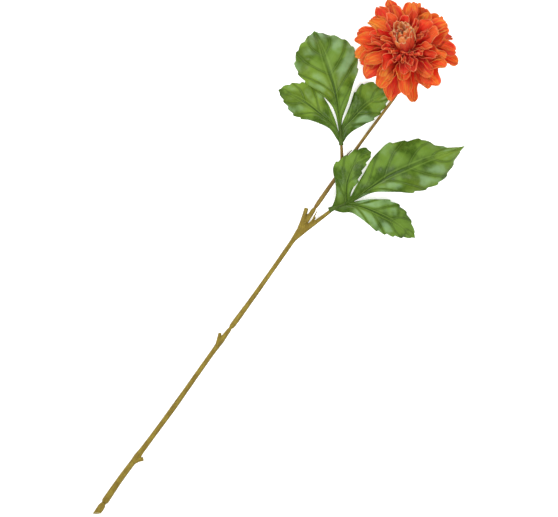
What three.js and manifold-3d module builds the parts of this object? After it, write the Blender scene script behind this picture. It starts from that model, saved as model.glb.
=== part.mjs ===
// A cut dahlia, lying down: a jointed stem with the stumps of its side shoots, two leaves of three toothed
// leaflets, and one double bloom that leans back on its lowest petals.
// Millimetres. +Y runs up the stem from the cut end to the bloom, +Z is up from the surface it lies on, and the
// origin is at the bottom centre of the whole plant's box.
import * as THREE from "three";
import Module from "manifold-3d";

const wasm = await Module();
wasm.setup();

// ---- Driving dimensions -------------------------------------------------------------------------------------

const GAP = 0.3; // between pieces that fit together
const CUT_END = [5.4, -359.5]; // the middle of the cut end, in the plan of the part

// The line of the stem, from the middle of its cut end: sideways, along, and up from the surface.
const STEM_LINE = [
  [0, 0, 3.9],
  [-0.9, 30, 4.4],
  [-1.2, 55, 4.8],
  [0, 100, 5.4],
  [0.8, 154, 6.1],
  [0.4, 240, 7.2],
  [1.4, 312, 8.1],
  [0.6, 400, 9.3],
  [-0.8, 460, 10],
  [-1.5, 540, 11.1],
  [-0.6, 592, 11.7],
  [-0.4, 614, 12],
  [-2.3, 635.1, 12.1],
  [-5.8, 646.3, 13],
  [-9.4, 652.8, 14.8],
  [-12.5, 656.6, 17.5],
  [-14.8, 658.7, 20.7],
  [-16.5, 659.9, 24.5],
  [-18.1, 661.1, 29.1],
];
const FOOT_JOINT = 15; // where the stem's lengths meet, as distances along its line
const MIDDLE_JOINT = 274;
const STALK_JOINT = 449;
const SPIGOT = { radius: 1.4, length: 6, sides: 8 };

// The stem's radius at distances along its line.
const STEM_GIRTH = [
  [0, 4.1], [9, 4.2], [13, 3.6], [15, 2.9], [15.3, 3.3], [18, 4.0], [24, 4.1], [50, 3.8], [76, 3.5], [84, 4.1],
  [92, 3.5], [112, 3.2], [154, 3.3], [197, 3.05], [238, 2.95], [256, 3.5], [264, 3.0], [272, 2.7], [274, 2.3],
  [274.3, 2.6], [277, 3.1], [284, 3.2], [312, 3.0], [356, 2.8], [400, 2.8], [416, 3.9], [430, 3.4], [440, 2.8],
  [446, 2.8], [449, 2.5], [449.3, 2.1], [453, 2.4], [460, 2.75], [472, 2.6], [498, 2.3], [508, 2.8], [520, 2.2],
  [545, 1.95], [592, 1.85], [640, 1.85], [675, 2.0],
];
const STEM_SIDES = 10;
const CUT_SLANT = { across: 0.716, up: 0.43 }; // how far the cut runs up the stem for each millimetre

// Side shoots: the points of each one's line, in the stem's own plan, and its radius at both ends.
const SHOOTS = {
  lowStump: { line: [[0, 76, 5.1], [3.2, 81.5, 5.4], [7.4, 85.6, 5.8]], girth: [3.2, 2.3], sides: 8 },
  midStump: { line: [[0.6, 247, 7.3], [-2.4, 254, 7.8], [-5.9, 262, 8.5]], girth: [2.9, 1.9], sides: 8 },
  forkStump: { line: [[0.2, 415, 9.5], [-4, 430, 10.3], [-8.8, 443.5, 11.2]], girth: [3.2, 2.5], sides: 8 },
  lowPetiole: {
    line: [[0.4, 405, 9.4], [5, 421, 11], [11.6, 441, 14.6], [18.4, 463.4, 19]],
    girth: [3.3, 2.0],
    sides: 10,
  },
  lowBud: { line: [[1.2, 416, 10.4], [4.8, 431, 13.2], [6.4, 440.5, 14.8]], girth: [1.4, 1.0], sides: 6 },
  lowBudTip: { line: [[5.6, 436, 14], [4.4, 442, 15.4], [3.6, 447.5, 16.4]], girth: [1.0, 0.6], sides: 6 },
  topPetiole: {
    line: [[-1.4, 503, 10.6], [-7.4, 514, 11.2], [-15.2, 524.5, 12], [-23.6, 534.6, 13.2]],
    girth: [2.3, 1.6],
    sides: 10,
  },
  topBud: { line: [[-2, 507, 10.8], [-4.6, 517, 13], [-6.6, 524.5, 14.6]], girth: [1.2, 0.8], sides: 6 },
  topBudTip: { line: [[-6.2, 523, 14.2], [-5.6, 527.5, 15.2], [-5, 531.5, 15.8]], girth: [0.8, 0.5], sides: 6 },
};

// The leaflets. Each has three lines from its foot to its tip: its midrib and its left and right edges.
const LEAFLETS = {
  topMiddle: {
    teeth: 6,
    rib: [
      [-22.5, 533.3, 14], [-34.8, 547.6, 18], [-52.6, 566.5, 25], [-66.9, 579.3, 28], [-77.9, 587.5, 28],
      [-92.1, 598.3, 24], [-107.7, 610.2, 14], [-125.2, 621.9, -2.5],
    ],
    left: [
      [-24, 532.3, 13], [-38.5, 548, 18], [-52.7, 558.7, 22], [-70.3, 562.7, 24], [-87.1, 563.8, 24],
      [-107.1, 567.3, 21], [-119.8, 576.2, 18], [-126.7, 593.7, 14], [-126.2, 606.5, 8],
      [-125.2, 621.9, -2.5],
    ],
    right: [
      [-21.3, 534.2, 13], [-35.4, 553.1, 18], [-41.3, 573.3, 23], [-48.2, 593.1, 24], [-54.3, 609.4, 22],
      [-65.3, 623.9, 19], [-80.1, 632.2, 14], [-98.1, 630.9, 9], [-112.9, 625, 4], [-125.2, 621.9, -2.5],
    ],
  },
  topLeft: {
    teeth: 5,
    rib: [
      [-21.6, 531.1, 13], [-34, 541, 16], [-45.6, 542.8, 19], [-62.4, 543.7, 22], [-80.6, 544.6, 21],
      [-98.7, 543.4, 13], [-119.2, 539.1, -2.5],
    ],
    left: [
      [-22.7, 529.6, 12], [-30, 532.4, 13], [-40.8, 536.3, 15], [-55.4, 534, 17], [-68.7, 530.1, 17],
      [-85.4, 525.8, 13], [-101.8, 531.4, 8], [-110.1, 534.7, 4], [-119.2, 539.1, -2.5],
    ],
    right: [
      [-21.5, 531.9, 13], [-36.1, 544, 16], [-46.8, 551.6, 17], [-62.4, 560.1, 18], [-78.7, 564.5, 18],
      [-94.2, 563.6, 15], [-105.3, 556.8, 11], [-113.8, 548.1, 5], [-119.2, 539.1, -2.5],
    ],
  },
  topRight: {
    teeth: 4,
    rib: [
      [-20.7, 531.8, 13], [-28.4, 546.6, 15.5], [-27, 559.9, 16.5], [-24.9, 575.5, 15],
      [-20.8, 590.4, 12.5], [-15.5, 601.8, 10], [-9.3, 613.9, 6.5],
    ],
    left: [
      [-21.2, 531.5, 12], [-32.7, 549.4, 15], [-35.8, 564, 16], [-39.8, 580.9, 15.5], [-41.5, 594.6, 14],
      [-38.2, 604.5, 12], [-29.8, 611.4, 10], [-19.6, 613.7, 8], [-9.3, 613.9, 6.5],
    ],
    right: [
      [-18.5, 531.9, 12], [-19.1, 540.9, 13], [-17.1, 550.4, 13], [-11.3, 562.8, 12], [-5.8, 577.8, 10.5],
      [-3.8, 592.6, 9], [-5.3, 604.1, 7.5], [-9.3, 613.9, 6.5],
    ],
  },
  lowMiddle: {
    teeth: 6,
    rib: [
      [16.9, 461.6, 19], [27.3, 475.5, 23], [34.3, 492, 28], [41.1, 510.6, 32], [49.6, 531.1, 35],
      [61.1, 551.6, 35], [74.5, 574.3, 28], [89.3, 594.2, 15], [102.6, 615.2, -2.5],
    ],
    left: [
      [16.2, 462.6, 19], [25.8, 479.6, 23], [23.8, 498.4, 27], [22.3, 517.6, 30], [20.2, 537.8, 32],
      [26, 560.2, 32], [39.7, 573.8, 30], [55.8, 588.5, 26], [75.9, 594.3, 17], [91.7, 604, 9],
      [102.6, 615.2, -2.5],
    ],
    right: [
      [18.6, 461.3, 19], [29.6, 476.4, 22], [36.6, 490.9, 25], [44.7, 503.9, 27], [60.8, 516.1, 28],
      [78.2, 528.6, 26], [91.7, 542.9, 22], [102.6, 563.4, 15], [103.4, 582.6, 9], [101.1, 599.6, 5],
      [102.6, 615.2, -2.5],
    ],
  },
  lowLeft: {
    teeth: 4,
    rib: [
      [16.4, 461.2, 19], [26.2, 474, 22], [19.8, 485.4, 25], [13.6, 495.4, 28], [9.5, 507.1, 29],
      [7.3, 519.3, 29], [8.9, 531.5, 28], [15.3, 542, 26],
    ],
    left: [
      [15, 460.2, 19], [13.9, 466.7, 21], [9.4, 478, 24], [0.1, 488.8, 25], [-9.4, 498.1, 25],
      [-10.2, 508.4, 26], [-4.9, 522.4, 26], [0.8, 534.8, 26], [7.8, 541.3, 26], [15.3, 542, 26],
    ],
    right: [
      [17.9, 462.3, 19], [27.7, 478, 22], [23.4, 490.2, 25], [21.3, 503.9, 27], [18.4, 517.8, 28],
      [17, 530, 28], [16.6, 539.2, 27], [15.3, 542, 26],
    ],
  },
  lowRight: {
    teeth: 5,
    rib: [
      [17.2, 461.1, 19], [27.4, 473.4, 22], [38.3, 480.4, 25], [51.3, 484.5, 27], [66.7, 487.5, 26],
      [84.3, 490.1, 20], [100.5, 490.8, 11], [118.4, 490.6, -2.5],
    ],
    left: [
      [16.6, 462.1, 19], [28.8, 477.6, 22], [36.8, 486.6, 24], [47.3, 496.3, 25], [60.5, 504.7, 23],
      [75.1, 509.1, 19], [89.6, 507.9, 13], [102.1, 502.4, 7], [110.8, 496.8, 3.5], [118.4, 490.6, -2.5],
    ],
    right: [
      [18.8, 460, 18.5], [28.9, 463.2, 19.5], [37.4, 469.6, 21], [51.2, 470.7, 22], [66.3, 470.1, 21],
      [81, 472.4, 17], [95.3, 477.6, 11], [107.3, 484, 5], [118.4, 490.6, -2.5],
    ],
  },
};
const LEAF_THICKNESS = 0.9;
const LEAF_ROWS = [0, 0.1, 0.21, 0.33]; // shares of a leaflet's lines where it has points below its teeth
const TEETH = { from: 0.44, to: 0.95, depth: 1.5, back: 0.012, tip: 0.985 };
const ROOF = 0.1; // how far each half stands over the flat between rib and edge, as a share of its width
const SWELL = 0.05; // how far it rises between its side veins
const SLEEVES = {
  low: {
    line: [[14.8, 457, 17.6], [18.4, 463.4, 19], [22.4, 469.5, 20.6], [25.6, 475, 22.4]],
    girth: [3.4, 1.4],
  },
  top: {
    line: [[-18.8, 528.5, 12.4], [-23.6, 534.6, 13.2], [-29, 541.4, 15], [-34, 547, 17.2]],
    girth: [2.9, 1.3],
  },
};

// The bloom's own frame: where the bottom of its receptacle is, and how it faces.
const BLOOM = { at: [-20.3, 662.7, 35.5], lean: 23, towards: 144 };
const PETAL_THICKNESS = 0.8;
const SURFACE_EASE = 1.2; // how gently a petal or leaf that meets the surface bends along it

// The whorls of the bloom from its back to its heart. Angles are in degrees: where is the azimuth of the first
// petal, with 90 on the side that the bloom leans to, lift is a petal's slope over the whorl's plane at its root
// and at its tip, and cup is half of the arc that its section is rolled to at its root, middle and tip.
const WHORLS = [
  {
    count: 8, where: -98, radius: 10, height: 1.6, length: 53, width: 31,
    lift: [4, -20], cup: [44, 30, 24],
  },
  {
    count: 9, where: -76, radius: 10, height: 3.6, length: 51, width: 29,
    lift: [15, -7], cup: [50, 34, 28],
  },
  {
    count: 9, where: -106, radius: 10, height: 5.6, length: 45, width: 25,
    lift: [27, 3], cup: [60, 44, 34],
  },
  {
    count: 9, where: -84, radius: 9.8, height: 7.6, length: 37, width: 21,
    lift: [38, 15], cup: [78, 60, 44],
  },
  {
    count: 8, where: -102, radius: 9.4, height: 9.4, length: 28, width: 18,
    lift: [48, 32], cup: [98, 84, 62], loose: 0.7,
  },
  {
    count: 7, where: -80, radius: 9, height: 11, length: 19, width: 14,
    lift: [58, 48], cup: [116, 106, 84], loose: 0.5, columns: 3,
  },
];
const HEART_WHORLS = [
  {
    count: 7, where: -104, radius: 5.2, height: 12.6, length: 23, width: 11,
    lift: [32, 106], cup: [44, 44, 40], loose: 0.3,
  },
  {
    count: 6, where: -82, radius: 4, height: 13, length: 30, width: 14,
    lift: [34, 150], cup: [50, 50, 50], loose: 0.3,
  },
  {
    count: 5, where: -60, radius: 2.4, height: 14.5, length: 28, width: 10,
    lift: [46, 150], cup: [54, 54, 54], loose: 0.3,
  },
];
const PETAL_ROWS = [0, 0.3, 0.6, 0.85, 1]; // shares of a petal's length where it has points
const HEART_ROWS = [0, 0.34, 0.7, 1];
const PETAL_FORM = { claw: 0.2, shoulder: 1.3, widest: 0.62, taper: 2.4, tip: 0.12 };
// How much longer the petals are on the side that the bloom leans to, and along its lean than across it.
const REACH = { low: 0.05, along: 0.03 };
const UNEVEN = { azimuth: 4, length: 0.07, width: 0.06, lift: 5, roll: 13, sweep: 0.09, cup: 0.14, layer: 4 };
const SEED = 3;
const [NOD, NOD_FROM] = [0.3, 14]; // how far the boss leans on past the bloom's own axis, and from what height
// Half outlines of the receptacle, of the heart's core, and of the room that the heart takes: radius, height.
const RECEPTACLE = [[0, 0], [9.4, 0], [13.4, 3], [13, 9], [9.6, 13.6], [0, 13.6]];
const HEART_CORE = [[0, 11.4], [4.8, 11.4], [6.4, 16], [6.6, 24], [4.4, 31], [0, 33]];
const HEART_ROOM = [
  [0, 11], [5.6, 11], [8.6, 14], [12.4, 17], [15, 21], [16.4, 26], [16.4, 34], [13, 39.5], [0, 42],
];

// The green cup behind the bloom, with its pressed inner bracts and its small hanging outer ones.
const CALYX = {
  cup: [[0, -12], [2.9, -12], [4.2, -10], [6.6, -6], [9.2, -3.4], [10.2, -1], [9.6, -0.4], [0, -0.4]],
  bore: { radius: 2.1, from: -13, to: -6.5 },
};
const BRACTS = [
  {
    count: 8, where: 10, radius: 8.2, height: -2.2, length: 15, width: 9,
    lift: [-2, -16], cup: [34, 26, 16], loose: 0.3,
  },
  {
    count: 5, where: 30, radius: 6, height: -6.6, length: 13, width: 6.5,
    lift: [-28, -74], cup: [-20, -24, -14], loose: 0.3,
  },
];

const COLOURS = {
  stem: { color: "#93833f", roughness: 0.62, metalness: 0 },
  stalk: { color: "#85653a", roughness: 0.6, metalness: 0 },
  leaf: { color: "#4f7f35", roughness: 0.5, metalness: 0 },
  calyx: { color: "#6b7d38", roughness: 0.6, metalness: 0 },
  rays: { color: "#dd4a1c", roughness: 0.65, metalness: 0 },
  heart: { color: "#dd7a35", roughness: 0.65, metalness: 0 },
};

// ---- Small tools --------------------------------------------------------------------------------------------

const radians = THREE.MathUtils.degToRad;
const mix = THREE.MathUtils.lerp;
const plan = ([x, y, z]) => new THREE.Vector3(x + CUT_END[0], y + CUT_END[1], z);
const smooth = (points) => new THREE.CatmullRomCurve3(points.map(plan), false, "centripetal");

// A seeded draw from -1 to 1 for one property of one petal.
function draw(whorl, index, kind) {
  const s = Math.sin(whorl * 12.9898 + index * 78.233 + kind * 37.719 + SEED) * 43758.5453;
  return 2 * (s - Math.floor(s)) - 1;
}

// The value at x on a line through [x, value] points.
function valueAt(table, x) {
  let i = 1;
  while (i < table.length - 1 && table[i][0] < x) i++;
  const [x0, a] = table[i - 1];
  const [x1, b] = table[i];
  return mix(a, b, THREE.MathUtils.clamp((x - x0) / (x1 - x0), 0, 1));
}

// Values for the root, middle and tip, as one line.
const threeWay = ([a, b, c], u) => (u < 0.5 ? mix(a, b, 2 * u) : mix(b, c, 2 * u - 1));

// What would sink under the surface bends gently along it instead, half its thickness up.
function onSurface(z, half) {
  const over = z - half;
  return half + (over + Math.hypot(over, SURFACE_EASE)) / 2;
}

// A manifold solid, turned right side out if its faces were listed the other way round.
function solid(positions, faces) {
  const made = (list) =>
    new wasm.Manifold(
      new wasm.Mesh({ numProp: 3, vertProperties: new Float32Array(positions), triVerts: new Uint32Array(list) }),
    );
  const first = made(faces);
  return first.volume() > 0 ? first : made(faces.reverse());
}

const union = (solids) => wasm.Manifold.union(solids);

// The outer skin of a fused body: the hollows that fusing sealed are filled, and its loose scraps are dropped.
function outerSkin(body) {
  return body.decompose().reduce((largest, other) => (other.volume() > largest.volume() ? other : largest));
}

function named(name, body, finish) {
  const { vertProperties, triVerts } = body.getMesh();
  const geometry = new THREE.BufferGeometry()
    .setAttribute("position", new THREE.BufferAttribute(vertProperties, 3))
    .setIndex(new THREE.BufferAttribute(triVerts, 1));
  geometry.computeVertexNormals();
  const mesh = new THREE.Mesh(geometry, new THREE.MeshStandardMaterial(finish));
  mesh.name = name;
  return mesh;
}

// A closed blade of even thickness round a grid of middle points, split into triangles alike on both faces.
function blade(rows, thickness) {
  const n = rows.length;
  const m = rows[0].length;
  const over = [];
  const under = [];
  rows.forEach((row, i) =>
    row.forEach((point, j) => {
      const along = rows[Math.min(i + 1, n - 1)][j].clone().sub(rows[Math.max(i - 1, 0)][j]);
      const across = row[Math.min(j + 1, m - 1)].clone().sub(row[Math.max(j - 1, 0)]);
      const normal = along.cross(across).normalize().multiplyScalar(thickness / 2);
      over.push(...point.clone().add(normal).toArray());
      under.push(...point.clone().sub(normal).toArray());
    }),
  );
  const at = (i, j) => i * m + j;
  const below = (k) => n * m + k;
  const faces = [];
  const wall = (a, b) => faces.push(a, below(a), below(b), a, below(b), b);
  for (let i = 0; i < n - 1; i++)
    for (let j = 0; j < m - 1; j++) {
      const [a, b, c, d] = [at(i, j), at(i + 1, j), at(i + 1, j + 1), at(i, j + 1)];
      faces.push(a, b, c, a, c, d);
      faces.push(below(a), below(c), below(b), below(a), below(d), below(c));
    }
  for (let i = 0; i < n - 1; i++) {
    wall(at(i, 0), at(i + 1, 0));
    wall(at(i + 1, m - 1), at(i, m - 1));
  }
  for (let j = 0; j < m - 1; j++) {
    wall(at(0, j + 1), at(0, j));
    wall(at(n - 1, j), at(n - 1, j + 1));
  }
  return solid([...over, ...under], faces);
}

// A round tapered shoot through stations, closed at both ends. The slant tilts its first ring, as a knife does.
function shoot(stations, sides, slant = { across: 0, up: 0 }) {
  const up = new THREE.Vector3(0, 0, 1);
  const positions = [];
  stations.forEach(({ point, tangent, radius }, i) => {
    const side = tangent.clone().cross(up).normalize();
    const over = side.clone().cross(tangent);
    for (let k = 0; k < sides; k++) {
      const angle = (2 * Math.PI * k) / sides;
      const [dx, dz] = [radius * Math.cos(angle), radius * Math.sin(angle)];
      const back = i === 0 ? slant.across * dx + slant.up * dz : 0;
      const p = point.clone().addScaledVector(side, dx).addScaledVector(over, dz).addScaledVector(tangent, back);
      positions.push(...p.toArray());
    }
  });
  const last = stations.length - 1;
  positions.push(...stations[0].point.toArray(), ...stations[last].point.toArray());
  const [foot, head] = [stations.length * sides, stations.length * sides + 1];
  const faces = [];
  for (let k = 0; k < sides; k++) {
    const next = (k + 1) % sides;
    for (let i = 0; i < last; i++) {
      const [a, b] = [i * sides + k, i * sides + next];
      faces.push(a, a + sides, b + sides, a, b + sides, b);
    }
    faces.push(foot, k, next, head, last * sides + next, last * sides + k);
  }
  return solid(positions, faces);
}

// ---- Stem ---------------------------------------------------------------------------------------------------

const stemCurve = smooth(STEM_LINE);
stemCurve.arcLengthDivisions = 600;
const STEM_LENGTH = stemCurve.getLength();

function stemStation(distance, radius) {
  const u = THREE.MathUtils.clamp(distance / STEM_LENGTH, 0, 1);
  return { point: stemCurve.getPointAt(u), tangent: stemCurve.getTangentAt(u), radius };
}

// One length of the stem between two distances, with a ring at each change of girth and closer ones in its bend.
function stemLength(from, to, slant) {
  const marks = [from, ...STEM_GIRTH.map(([d]) => d).filter((d) => d > from + 0.1 && d < to - 0.1), to];
  const rings = [];
  marks.forEach((mark, i) => {
    rings.push(mark);
    const gap = (marks[i + 1] ?? mark) - mark;
    const extra = Math.floor(gap / (mark > 600 ? 7 : 40));
    for (let k = 1; k <= extra; k++) rings.push(mark + (gap * k) / (extra + 1));
  });
  return shoot(rings.map((d) => stemStation(d, valueAt(STEM_GIRTH, d))), STEM_SIDES, slant);
}

// A plug on the stem's line, for a spigot or for the bore that takes it.
function plug(from, to, radius) {
  const marks = [from, mix(from, to, 1 / 3), mix(from, to, 2 / 3), to];
  return shoot(marks.map((d) => stemStation(d, radius)), SPIGOT.sides);
}

const spigotAbove = (joint) => plug(joint - 4, joint + SPIGOT.length, SPIGOT.radius);
const boreAbove = (joint) => plug(joint - 4, joint + SPIGOT.length + GAP, SPIGOT.radius + GAP);

function sideShoot({ line, girth, sides }, grow = 0) {
  const curve = smooth(line);
  const steps = line.length > 3 ? 6 : 3;
  const stations = [];
  for (let i = 0; i <= steps; i++) {
    const u = i / steps;
    stations.push({ point: curve.getPointAt(u), tangent: curve.getTangentAt(u), radius: mix(...girth, u) + grow });
  }
  return shoot(stations, sides);
}

function stemFoot() {
  return union([stemLength(0, FOOT_JOINT, CUT_SLANT), spigotAbove(FOOT_JOINT)]);
}

function stemLower() {
  const body = union([
    stemLength(FOOT_JOINT + GAP, MIDDLE_JOINT),
    sideShoot(SHOOTS.lowStump),
    sideShoot(SHOOTS.midStump),
    spigotAbove(MIDDLE_JOINT),
  ]);
  return body.subtract(boreAbove(FOOT_JOINT));
}

function stemMiddle() {
  const shoots = [SHOOTS.forkStump, SHOOTS.lowPetiole, SHOOTS.lowBud, SHOOTS.lowBudTip].map((s) => sideShoot(s));
  const body = union([stemLength(MIDDLE_JOINT + GAP, STALK_JOINT), ...shoots]);
  const stalkBore = plug(STALK_JOINT - SPIGOT.length - GAP, STALK_JOINT + 2, SPIGOT.radius + GAP);
  return body.subtract(boreAbove(MIDDLE_JOINT)).subtract(stalkBore);
}

function flowerStalk() {
  const shoots = [SHOOTS.topPetiole, SHOOTS.topBud, SHOOTS.topBudTip].map((s) => sideShoot(s));
  const foot = plug(STALK_JOINT - SPIGOT.length, STALK_JOINT + 4, SPIGOT.radius);
  return union([stemLength(STALK_JOINT + GAP, STEM_LENGTH), foot, ...shoots]);
}

// ---- Leaves -------------------------------------------------------------------------------------------------

// Where along a leaflet its rows of points are: its teeth have one row in each notch and one at each point.
function leafletRows(teeth) {
  const rows = [...LEAF_ROWS];
  const step = (TEETH.to - TEETH.from) / teeth;
  for (let k = 0; k < teeth; k++) {
    const notch = TEETH.from + step * k;
    rows.push(notch, notch + step - TEETH.back);
  }
  return [...rows, TEETH.to, TEETH.tip];
}

// How far the edge stands out at u, from 0 in a notch to 1 at a tooth's point.
function toothAt(teeth, u) {
  if (u < TEETH.from || u > TEETH.to) return 0;
  const step = (TEETH.to - TEETH.from) / teeth;
  const share = ((u - TEETH.from) % step) / step;
  const point = 1 - TEETH.back / step;
  return share <= point ? share / point : (1 - share) / (1 - point);
}

// The row of five points across a leaflet at u: left edge, left half, midrib, right half, right edge.
function leafletRow({ lines, teeth }, u) {
  const rib = lines.rib.getPointAt(u);
  const row = [];
  for (const side of ["left", "right"]) {
    const edge = lines[side].getPointAt(u);
    const out = edge.clone().sub(rib);
    const width = out.length();
    edge.addScaledVector(out, (TEETH.depth * toothAt(teeth, u)) / Math.max(width, 8));
    const half = rib.clone().lerp(edge, 0.52);
    half.z += width * (ROOF + SWELL * Math.sin(2 * Math.PI * teeth * u));
    row.push(...(side === "left" ? [edge, half, rib] : [half, edge]));
  }
  for (const point of row) point.z = onSurface(point.z, LEAF_THICKNESS / 2);
  return row;
}

function leafletBlade({ teeth, rib, left, right }) {
  const lines = { rib: smooth(rib), left: smooth(left), right: smooth(right) };
  return blade(leafletRows(teeth).map((u) => leafletRow({ lines, teeth }, u)), LEAF_THICKNESS);
}

// A leaf: its leaflets joined on a green sleeve, which the end of the petiole reaches into.
function leaf(leaflets, sleeve, petiole) {
  const joined = union([...leaflets.map(leafletBlade), sideShoot({ ...sleeve, sides: 10 })]);
  return outerSkin(joined.subtract(sideShoot(petiole, GAP)));
}

// ---- Bloom --------------------------------------------------------------------------------------------------

const [lean, towards] = [radians(BLOOM.lean), radians(BLOOM.towards)];
const facing = new THREE.Vector3(
  Math.sin(lean) * Math.cos(towards),
  Math.sin(lean) * Math.sin(towards),
  Math.cos(lean),
);
const rightward = new THREE.Vector3(Math.sin(towards), -Math.cos(towards), 0);
const upward = facing.clone().cross(rightward);

// A point of the bloom's own frame in the plan of the part. A nod moves what is over the heart's root aside, by
// this share of its height over it, towards the side that the bloom leans to.
function inBloom(x, y, h, nod = 0) {
  const aside = y + nod * Math.max(h - NOD_FROM, 0);
  return plan(BLOOM.at).addScaledVector(rightward, x).addScaledVector(upward, aside).addScaledVector(facing, h);
}

// A half outline turned round the bloom's axis. Its first and last points are on the axis.
function turned(outline, sides, nod = 0) {
  const rings = outline.slice(1, -1);
  const positions = [outline[0], outline.at(-1)].flatMap(([, height]) => inBloom(0, 0, height, nod).toArray());
  for (const [radius, height] of rings)
    for (let k = 0; k < sides; k++) {
      const angle = (2 * Math.PI * k) / sides;
      positions.push(...inBloom(radius * Math.cos(angle), radius * Math.sin(angle), height, nod).toArray());
    }
  const faces = [];
  const last = (rings.length - 1) * sides;
  for (let k = 0; k < sides; k++) {
    const next = (k + 1) % sides;
    faces.push(0, 2 + next, 2 + k, 1, 2 + last + k, 2 + last + next);
    for (let ring = 0; ring < last; ring += sides) {
      const [a, b] = [2 + ring + k, 2 + ring + next];
      faces.push(a, b, b + sides, a, b + sides, a + sides);
    }
  }
  return solid(positions, faces);
}

// One petal of a whorl, with its own small departures from the rule.
function petalOf(whorl, number, index) {
  const uneven = whorl.loose ?? 1;
  const vary = (kind, amount) => 1 + amount * uneven * draw(number, index, kind);
  const layer = (index % 2 ? 0.5 : -0.5) * UNEVEN.layer;
  const tilt = uneven * (UNEVEN.lift * draw(number, index, 4) + layer);
  const turn = whorl.where + (360 / whorl.count) * index + uneven * UNEVEN.azimuth * draw(number, index, 1);
  const azimuth = radians(turn);
  const reach = 1 + REACH.low * Math.sin(azimuth) - REACH.along * Math.cos(2 * azimuth);
  return {
    ...whorl,
    azimuth,
    length: whorl.length * vary(2, UNEVEN.length) * reach,
    width: whorl.width * vary(3, UNEVEN.width),
    lift: whorl.lift.map((angle) => radians(angle + tilt)),
    roll: radians(uneven * UNEVEN.roll * draw(number, index, 5)),
    sweep: uneven * UNEVEN.sweep * draw(number, index, 6),
    cup: whorl.cup.map((angle) => radians(angle * vary(7, UNEVEN.cup))),
  };
}

// A petal's width as a share of its widest: a narrow claw, a broad shoulder and a rounded point.
function petalWidth(u) {
  const { claw, shoulder, widest, taper, tip } = PETAL_FORM;
  if (u < widest) return claw + (1 - claw) * Math.sin((Math.PI / 2) * (u / widest)) ** shoulder;
  return Math.max(1 - ((u - widest) / (1 - widest)) ** taper, tip);
}

// A point of a petal at u along it and v, from -1 to 1, across it.
function petalPoint(petal, u, v) {
  const [start, end] = petal.lift;
  const bend = end - start;
  const slope = start + bend * u;
  const out = petal.radius + (petal.length * (Math.sin(slope) - Math.sin(start))) / bend;
  const high = petal.height - (petal.length * (Math.cos(slope) - Math.cos(start))) / bend;
  const cup = threeWay(petal.cup, u);
  const curl = ((petal.width / 2) * petalWidth(u)) / cup;
  const sideways = curl * Math.sin(cup * v);
  const rise = curl * (1 - Math.cos(cup * v));
  const roll = petal.roll * (0.3 + 0.7 * u);
  const lateral = sideways * Math.cos(roll) - rise * Math.sin(roll) + petal.sweep * petal.length * u * u;
  const normal = sideways * Math.sin(roll) + rise * Math.cos(roll);
  const radial = out - normal * Math.sin(slope);
  const height = high + normal * Math.cos(slope);
  const [c, s] = [Math.cos(petal.azimuth), Math.sin(petal.azimuth)];
  const point = inBloom(radial * c - lateral * s, radial * s + lateral * c, height, petal.nod);
  point.z = onSurface(point.z, PETAL_THICKNESS / 2);
  return point;
}

// The blades of a whorl, with points at the given shares of their length and this many columns across them.
function whorlBlades(whorl, number, rows, columns) {
  const across = Array.from({ length: columns + 1 }, (_, j) => (2 * j) / columns - 1);
  return Array.from({ length: whorl.count }, (_, index) => {
    const petal = petalOf(whorl, number, index);
    return blade(rows.map((u) => across.map((v) => petalPoint(petal, u, v))), PETAL_THICKNESS);
  });
}

function rayFlorets() {
  const petals = WHORLS.flatMap((whorl, number) => whorlBlades(whorl, number, PETAL_ROWS, whorl.columns ?? 4));
  return outerSkin(union([turned(RECEPTACLE, 10), ...petals]).subtract(turned(HEART_ROOM, 12, NOD)));
}

function heart() {
  const petals = HEART_WHORLS.flatMap((whorl, k) =>
    whorlBlades({ ...whorl, nod: NOD }, WHORLS.length + k, HEART_ROWS, 3),
  );
  return outerSkin(union([turned(HEART_CORE, 10, NOD), ...petals]));
}

function calyx() {
  const bracts = BRACTS.flatMap((whorl, k) => whorlBlades(whorl, 20 + k, [0, 0.4, 0.75, 1], 2));
  const { radius, from, to } = CALYX.bore;
  const bore = turned([[0, from], [radius + GAP, from], [radius + GAP, to], [0, to]], 12);
  return outerSkin(union([turned(CALYX.cup, 12), ...bracts]).subtract(bore));
}

// ---- The plant ----------------------------------------------------------------------------------------------

const { lowLeft, lowMiddle, lowRight, topLeft, topMiddle, topRight } = LEAFLETS;

const plant = new THREE.Group();
plant.name = "dahlia";
plant.add(
  named("stem_foot", stemFoot(), COLOURS.stem),
  named("stem_lower", stemLower(), COLOURS.stem),
  named("stem_middle", stemMiddle(), COLOURS.stem),
  named("flower_stalk", flowerStalk(), COLOURS.stalk),
  named("leaf_lower", leaf([lowLeft, lowMiddle, lowRight], SLEEVES.low, SHOOTS.lowPetiole), COLOURS.leaf),
  named("leaf_upper", leaf([topLeft, topMiddle, topRight], SLEEVES.top, SHOOTS.topPetiole), COLOURS.leaf),
  named("calyx", calyx(), COLOURS.calyx),
  named("ray_florets", rayFlorets(), COLOURS.rays),
  named("bloom_heart", heart(), COLOURS.heart),
);

export default plant;
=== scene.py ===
"""A cut dahlia lying on a pale surface: a jointed stem, two leaves of three leaflets and a double bloom.

Driving dimensions are in millimetres, in the plan of the plant. Its origin is the middle of the cut end,
and its axes run sideways, along the stem, and up from the surface. Blender's own units are metres.
"""

from __future__ import annotations

import bisect
import logging
import math
from collections.abc import Callable, Sequence
from dataclasses import dataclass
from enum import Enum
from functools import partial
from typing import Any

import bpy
from mathutils import Matrix, Vector
from mathutils.kdtree import KDTree

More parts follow.
